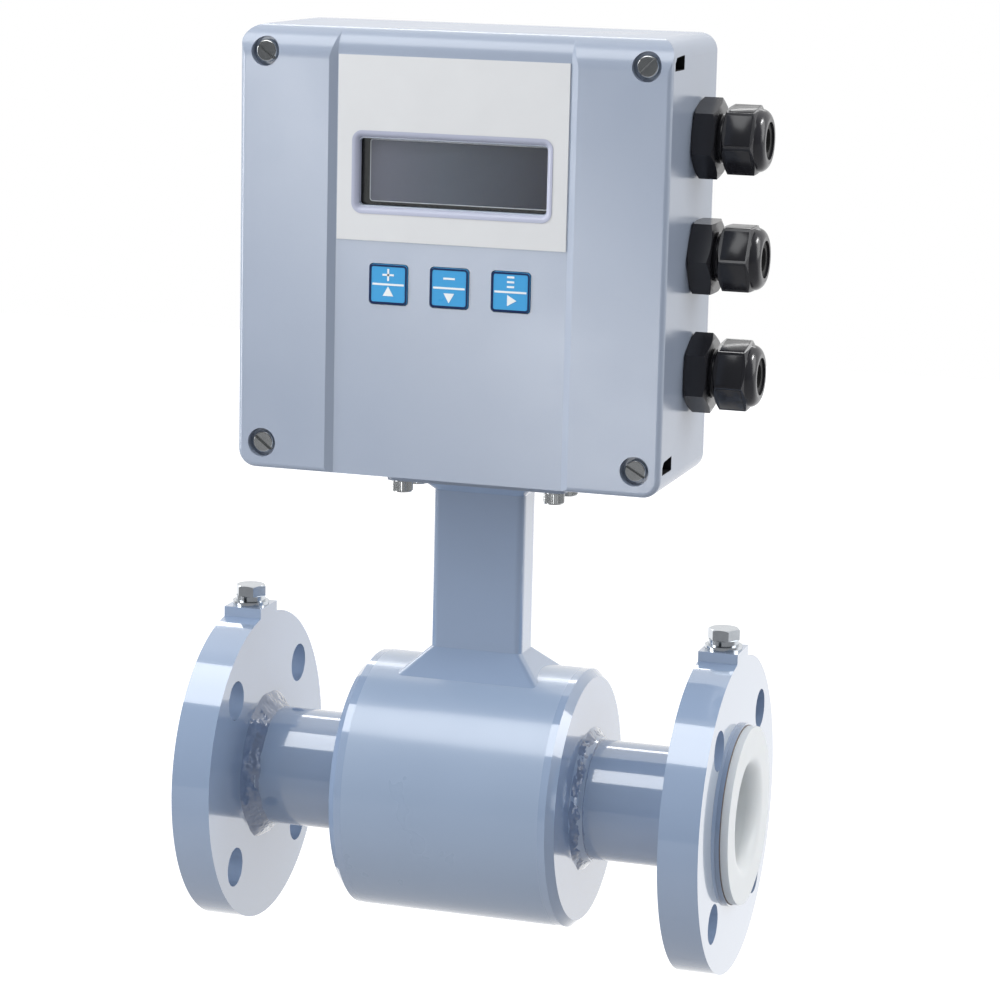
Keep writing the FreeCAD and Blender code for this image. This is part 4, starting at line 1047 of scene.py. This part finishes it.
@dataclass
class GlandTrim:
    """The thread turns and the raised facet panels of the three cable glands."""

    places: tuple[str, ...] = ("top", "middle", "bottom")
    body_end: float = 9.0 * MM
    nut_start: float = 11.5 * MM
    hex_length: float = 12.3 * MM
    nut_flats: float = 24.0 * MM
    flats_play: float = 0.4 * MM
    collar: float = 9.0 * MM
    thread_depth: float = 0.55 * MM
    thread_start: float = 0.15
    pitch: float = 1.5 * MM
    rise: float = 0.22 * MM
    panel_bevel: float = 0.9
    side_border: float = 1.0 * MM
    end_border: float = 1.3 * MM

    def build(self) -> None:
        """Trim each gland."""
        wall_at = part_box("housing_base")[1].x
        for place in self.places:
            low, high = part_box("gland_seal_" + place)
            centre = Vector((wall_at, (low.y + high.y) / 2, (low.z + high.z) / 2))
            self.thread(place, centre)
            self.panels(place, centre)

    def thread(self, place: str, centre: Vector) -> None:
        """Two turns of thread on the collar between body and nut.

        Args:
            place: The gland's place.
            centre: The gland's axis where it leaves the wall.
        """
        turns = []
        for turn in (0.0, 1.0):
            along = self.body_end + self.pitch * (turn + self.thread_start)
            hoop = Bench.hoop("turn", centre + Vector((along, 0.0, 0.0)), self.collar,
                              self.thread_depth, segments=(72, 6))
            for vertex in hoop.data.vertices:
                across = vertex.co - centre
                round_at = math.atan2(across.z, across.y) / (2 * math.pi)
                vertex.co.x += self.pitch * 0.5 * abs(round_at)
            turns.append(hoop)
        thread = Bench.join("gland_thread_" + place, turns)
        Bench.smooth(thread, 25.0)
        finish_piece(thread, NYLON, METER)

    def panels(self, place: str, centre: Vector) -> None:
        """The six raised panels of the nut's facets.

        Args:
            place: The gland's place.
            centre: The gland's axis where it leaves the wall.
        """
        wide = self.nut_flats * math.tan(math.radians(30.0)) - 2 * self.side_border
        size = (self.hex_length - 2 * self.end_border, wide, 2 * self.rise)
        middle = centre + Vector((self.nut_start + self.hex_length / 2, 0.0, 0.0))
        parts = []
        for turn in self.facet_turns(frame["nodes"]["gland_nut_" + place].data, centre):
            out = Vector((0.0, math.cos(turn), math.sin(turn)))
            panel = Bench.block("panel", size, Vector())
            Bench.modify(panel, "BEVEL", width=self.rise * self.panel_bevel, segments=2,
                         limit_method="ANGLE")
            panel.rotation_euler = (turn - math.pi / 2, 0.0, 0.0)
            panel.location = middle + out * (self.nut_flats / 2)
            parts.append(Bench.settle(panel))
        panels = Bench.join("gland_panels_" + place, parts)
        Bench.smooth(panels, 30.0)
        finish_piece(panels, NYLON, METER)

    def facet_turns(self, mesh: bpy.types.Mesh, centre: Vector) -> list[float]:
        """Read from the nut which way its six flat sides face.

        Args:
            mesh: The nut's mesh.
            centre: The gland's axis where it leaves the wall.

        Returns:
            The six directions, as turns about the gland's axis.
        """
        sides = [face for face in mesh.polygons if abs(face.normal.x) < 0.05]
        flats = [face for face in sides if abs(
            (face.center - centre).yz.length - self.nut_flats / 2) < self.flats_play]
        largest = max(flats, key=lambda face: face.area)
        first = math.atan2(largest.normal.z, largest.normal.y)
        return [first + math.radians(60.0 * step) for step in range(6)]


# ---------------- fasteners and seals


@dataclass
class KnurledHeads:
    """The knurled rims of the four screws under the neck plate."""

    diameter: float = 7.9 * MM
    height: float = 4.8 * MM
    clearance: float = 0.5 * MM
    stand: float = 0.02 * MM
    wall: float = 0.3 * MM
    ribs: int = 36
    cut: float = 0.22 * MM

    def build(self) -> None:
        """Set one rim round each head."""
        low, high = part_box("plate_screws")
        radius = self.diameter / 2
        corners = [(x, y) for x in (low.x, high.x) for y in (low.y, high.y)]
        for number, (x, y) in enumerate(corners, start=1):
            at = Vector((x - math.copysign(radius, x), y - math.copysign(radius, y),
                         low.z + self.height / 2))
            self.rim("knurled_rim_" + str(number), at, radius)

    def rim(self, name: str, at: Vector, radius: float) -> None:
        """One knurled sleeve.

        Args:
            name: The rim's name.
            at: The middle of the screw's head.
            radius: The head's radius.
        """
        Bench.clear()
        bpy.ops.mesh.primitive_cylinder_add(
            vertices=self.ribs * 2, radius=radius + self.stand,
            depth=self.height - self.clearance * 2, end_fill_type="NOTHING", location=at)
        rim = bpy.context.object
        rim.name = name
        Bench.settle(rim)
        for vertex in rim.data.vertices:
            away = vertex.co - at
            step = round(math.atan2(away.y, away.x) / (math.pi / self.ribs))
            if step % 2:
                away.xy *= 1.0 + self.cut / radius
            vertex.co = at + away
        Bench.modify(rim, "SOLIDIFY", thickness=self.wall, offset=-1.0)
        Bench.smooth(rim, 10.0)
        finish_piece(rim, STAINLESS, METER)


@dataclass
class FlareSeams:
    """The thin tan line laid where each end of the liner meets its flange."""

    section: float = 0.28 * MM
    waviness: float = 0.12 * MM
    wave_length: float = 9.0 * MM

    def build(self) -> None:
        """Lay one edge behind each flare."""
        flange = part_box("flange_right")[1].x
        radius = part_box("liner")[1].z
        for side, away in (("right", 1.0), ("left", -1.0)):
            seam = Bench.hoop("flare_seam_" + side, Vector((flange * away, 0.0, 0.0)), radius,
                              self.section, segments=(220, 8))
            for vertex in seam.data.vertices:
                out = vertex.co.yz.normalized() * self.waviness
                vertex.co.yz += out * noise.noise(vertex.co / self.wave_length)
            Bench.smooth(seam, 60.0)
            finish_piece(seam, FLARE_LINE, METER)


# ---------------- stage


@dataclass
class Softbox:
    """One soft lamp of the studio, hung in a direction seen from the meter."""

    name: str
    towards: Triple
    away: float
    size: tuple[float, float]
    watts: float
    tint: Triple = (1.0, 1.0, 1.0)
    aim: Triple = (0.0, 0.0, 0.12)
    turned: float = 0.0
    only_on: tuple[str, ...] = ()

    def build(self) -> None:
        """Hang the lamp, point it at its aim, turn it about its beam and keep it to its pieces."""
        data = bpy.data.lights.new(self.name, "AREA")
        data.shape = "RECTANGLE"
        data.size, data.size_y = self.size
        data.energy = self.watts
        data.color = self.tint
        lamp = bpy.data.objects.new(self.name, data)
        bpy.context.scene.collection.objects.link(lamp)
        beam = Vector(self.towards).normalized()
        lamp.location = Vector(self.aim) + beam * self.away
        facing = beam.to_track_quat("Z", "Y").to_matrix().to_4x4()
        turn = facing @ Matrix.Rotation(math.radians(self.turned), 4, "Z")
        lamp.rotation_euler = turn.to_euler()
        lamp.visible_camera = False
        if self.only_on:
            lit = bpy.data.collections.new(self.name + "_pieces")
            for node in self.only_on:
                lit.objects.link(frame["nodes"][node])
            lamp.light_linking.receiver_collection = lit
        LOG.info("hung %s", self.name)


@dataclass
class Studio:
    """Lamps, pale surroundings, floor and camera."""

    eye: Triple = (0.384513, -1.221166, 0.369095)
    yaw: float = 0.3003
    pitch: float = 0.1934
    roll: float = 0.0234
    lens: float = 117.79
    floor_drop: float = 0.75
    floor_size: float = 12.0
    dome_level: float = 0.70
    front_gloss: float = 0.15
    lamps: tuple[Softbox, ...] = (
        Softbox("overhead_softbox", (-0.28, -0.44, 0.86), 1.35, (1.2, 0.7), 8.0,
                tint=(0.97, 0.985, 1.0)),
        Softbox("rear_strip", (-0.28, 0.74, 0.62), 1.3, (1.4, 0.13), 2.5),
        Softbox("left_softbox", (-0.9, -0.5, 0.17), 1.3, (0.5, 0.9), 9.0),
        Softbox("right_softbox", (0.97, 0.15, 0.45), 1.2, (0.6, 0.8), 4.8),
        Softbox("slanting_strip", (-0.42, -1.26, -0.13), 1.34, (0.8, 0.12), 1.65,
                aim=(-0.012, -0.05, 0.22), turned=-43.0,
                only_on=("housing_cover", "housing_base")),
        Softbox("gland_glint", (0.64, 0.1, 0.76), 1.2, (0.34, 0.2), 7.0, aim=(0.1, 0.0, 0.22),
                only_on=("gland_nut_top", "gland_nut_middle", "gland_nut_bottom")),
    )

    def build(self) -> None:
        """Set up the whole stage."""
        for lamp in self.lamps:
            lamp.build()
        self.world()
        self.floor()
        self.camera()

    def world(self) -> None:
        """White behind the meter, also in gloss and glass, and a soft graded dome for its light."""
        world = bpy.data.worlds.new("studio_dome")
        bpy.context.scene.world = world
        world.use_nodes = True
        world.node_tree.nodes.clear()
        graph = Graph(world.node_tree)
        out, mix = graph.add("OutputWorld"), graph.add("MixShader")
        white = graph.add("Background", Color=(1.0, 1.0, 1.0, 1.0))
        dome, path = graph.add("Background"), graph.add("LightPath")
        where, split = graph.add("TexCoord").outputs["Generated"], graph.add("SeparateXYZ")
        rise = graph.add("MapRange", From_Min=-1.0)
        shade = graph.ramp(rise.outputs["Result"], [
            (0.2, (0.50, 0.54, 0.62)), (0.5, (0.78, 0.81, 0.86)), (0.85, (1.0, 1.0, 1.0))])
        dim = graph.add("MapRange", To_Min=self.dome_level, To_Max=self.front_gloss)
        through = graph.add("Math", "MAXIMUM")
        graph.join((path.outputs["Is Glossy Ray"], dim.inputs["Value"]),
                   (dim.outputs["Result"], dome.inputs["Strength"]),
                   (where, split.inputs["Vector"]),
                   (split.outputs["Z"], rise.inputs["Value"]),
                   (shade, dome.inputs["Color"]),
                   (graph.seen_white(where, near=-0.35, far=0.25), through.inputs[0]),
                   (path.outputs["Is Transmission Ray"], through.inputs[1]),
                   (through.outputs["Value"], mix.inputs["Fac"]),
                   (dome.outputs["Background"], mix.inputs[1]),
                   (white.outputs["Background"], mix.inputs[2]),
                   (mix.outputs["Shader"], out.inputs["Surface"]))

    def floor(self) -> None:
        """A pale floor well below the meter, which hangs in its flow line."""
        Bench.clear()
        bpy.ops.mesh.primitive_plane_add(size=self.floor_size,
                                         location=(0.0, 0.0, -self.floor_drop))
        floor = bpy.context.object
        floor.name = "studio_floor"
        pale = Recipe("pale_floor")
        pale.put(Base_Color=(0.5, 0.5, 0.51, 1.0), Roughness=0.8)
        glow = pale.add("Emission", Strength=0.85)
        lit, mix = pale.add("AddShader"), pale.add("MixShader")
        plain = pale.surface.outputs["BSDF"]
        pale.join((plain, lit.inputs[0]),
                  (glow.outputs["Emission"], lit.inputs[1]),
                  (pale.seen_white(pale.where, near=0.3, far=1.6), mix.inputs["Fac"]),
                  (plain, mix.inputs[1]),
                  (lit.outputs["Shader"], mix.inputs[2]),
                  (mix.outputs["Shader"], pale.tree.nodes["Material Output"].inputs["Surface"]))
        floor.data.materials.append(pale.result)

    def camera(self) -> None:
        """The camera, above and to the right of the front."""
        data = bpy.data.cameras.new("camera")
        data.lens = self.lens
        data.sensor_width = 36.0
        data.clip_start = 0.05
        camera = bpy.data.objects.new("camera", data)
        bpy.context.scene.collection.objects.link(camera)
        turn = Matrix.Rotation(self.yaw, 4, "Z") @ Matrix.Rotation(math.pi / 2 - self.pitch, 4, "X")
        turn @= Matrix.Rotation(self.roll, 4, "Z")
        camera.matrix_world = Matrix.Translation(self.eye) @ turn
        bpy.context.scene.camera = camera
        bpy.context.scene.view_settings.view_transform = "Standard"


def main() -> None:
    """Dress the frame, build each sub-assembly in order and set the stage."""
    logging.basicConfig(level=logging.INFO, format="%(name)s: %(message)s")
    dress_frame()
    WeldFillets().build()
    WindowRim().build()
    ScreenSurround().build()
    KeySigns().build()
    NotchLinings().build()
    GlandTrim().build()
    KnurledHeads().build()
    FlareSeams().build()
    Studio().build()
    Bench.clear()


if __name__ == "__main__":
    main()
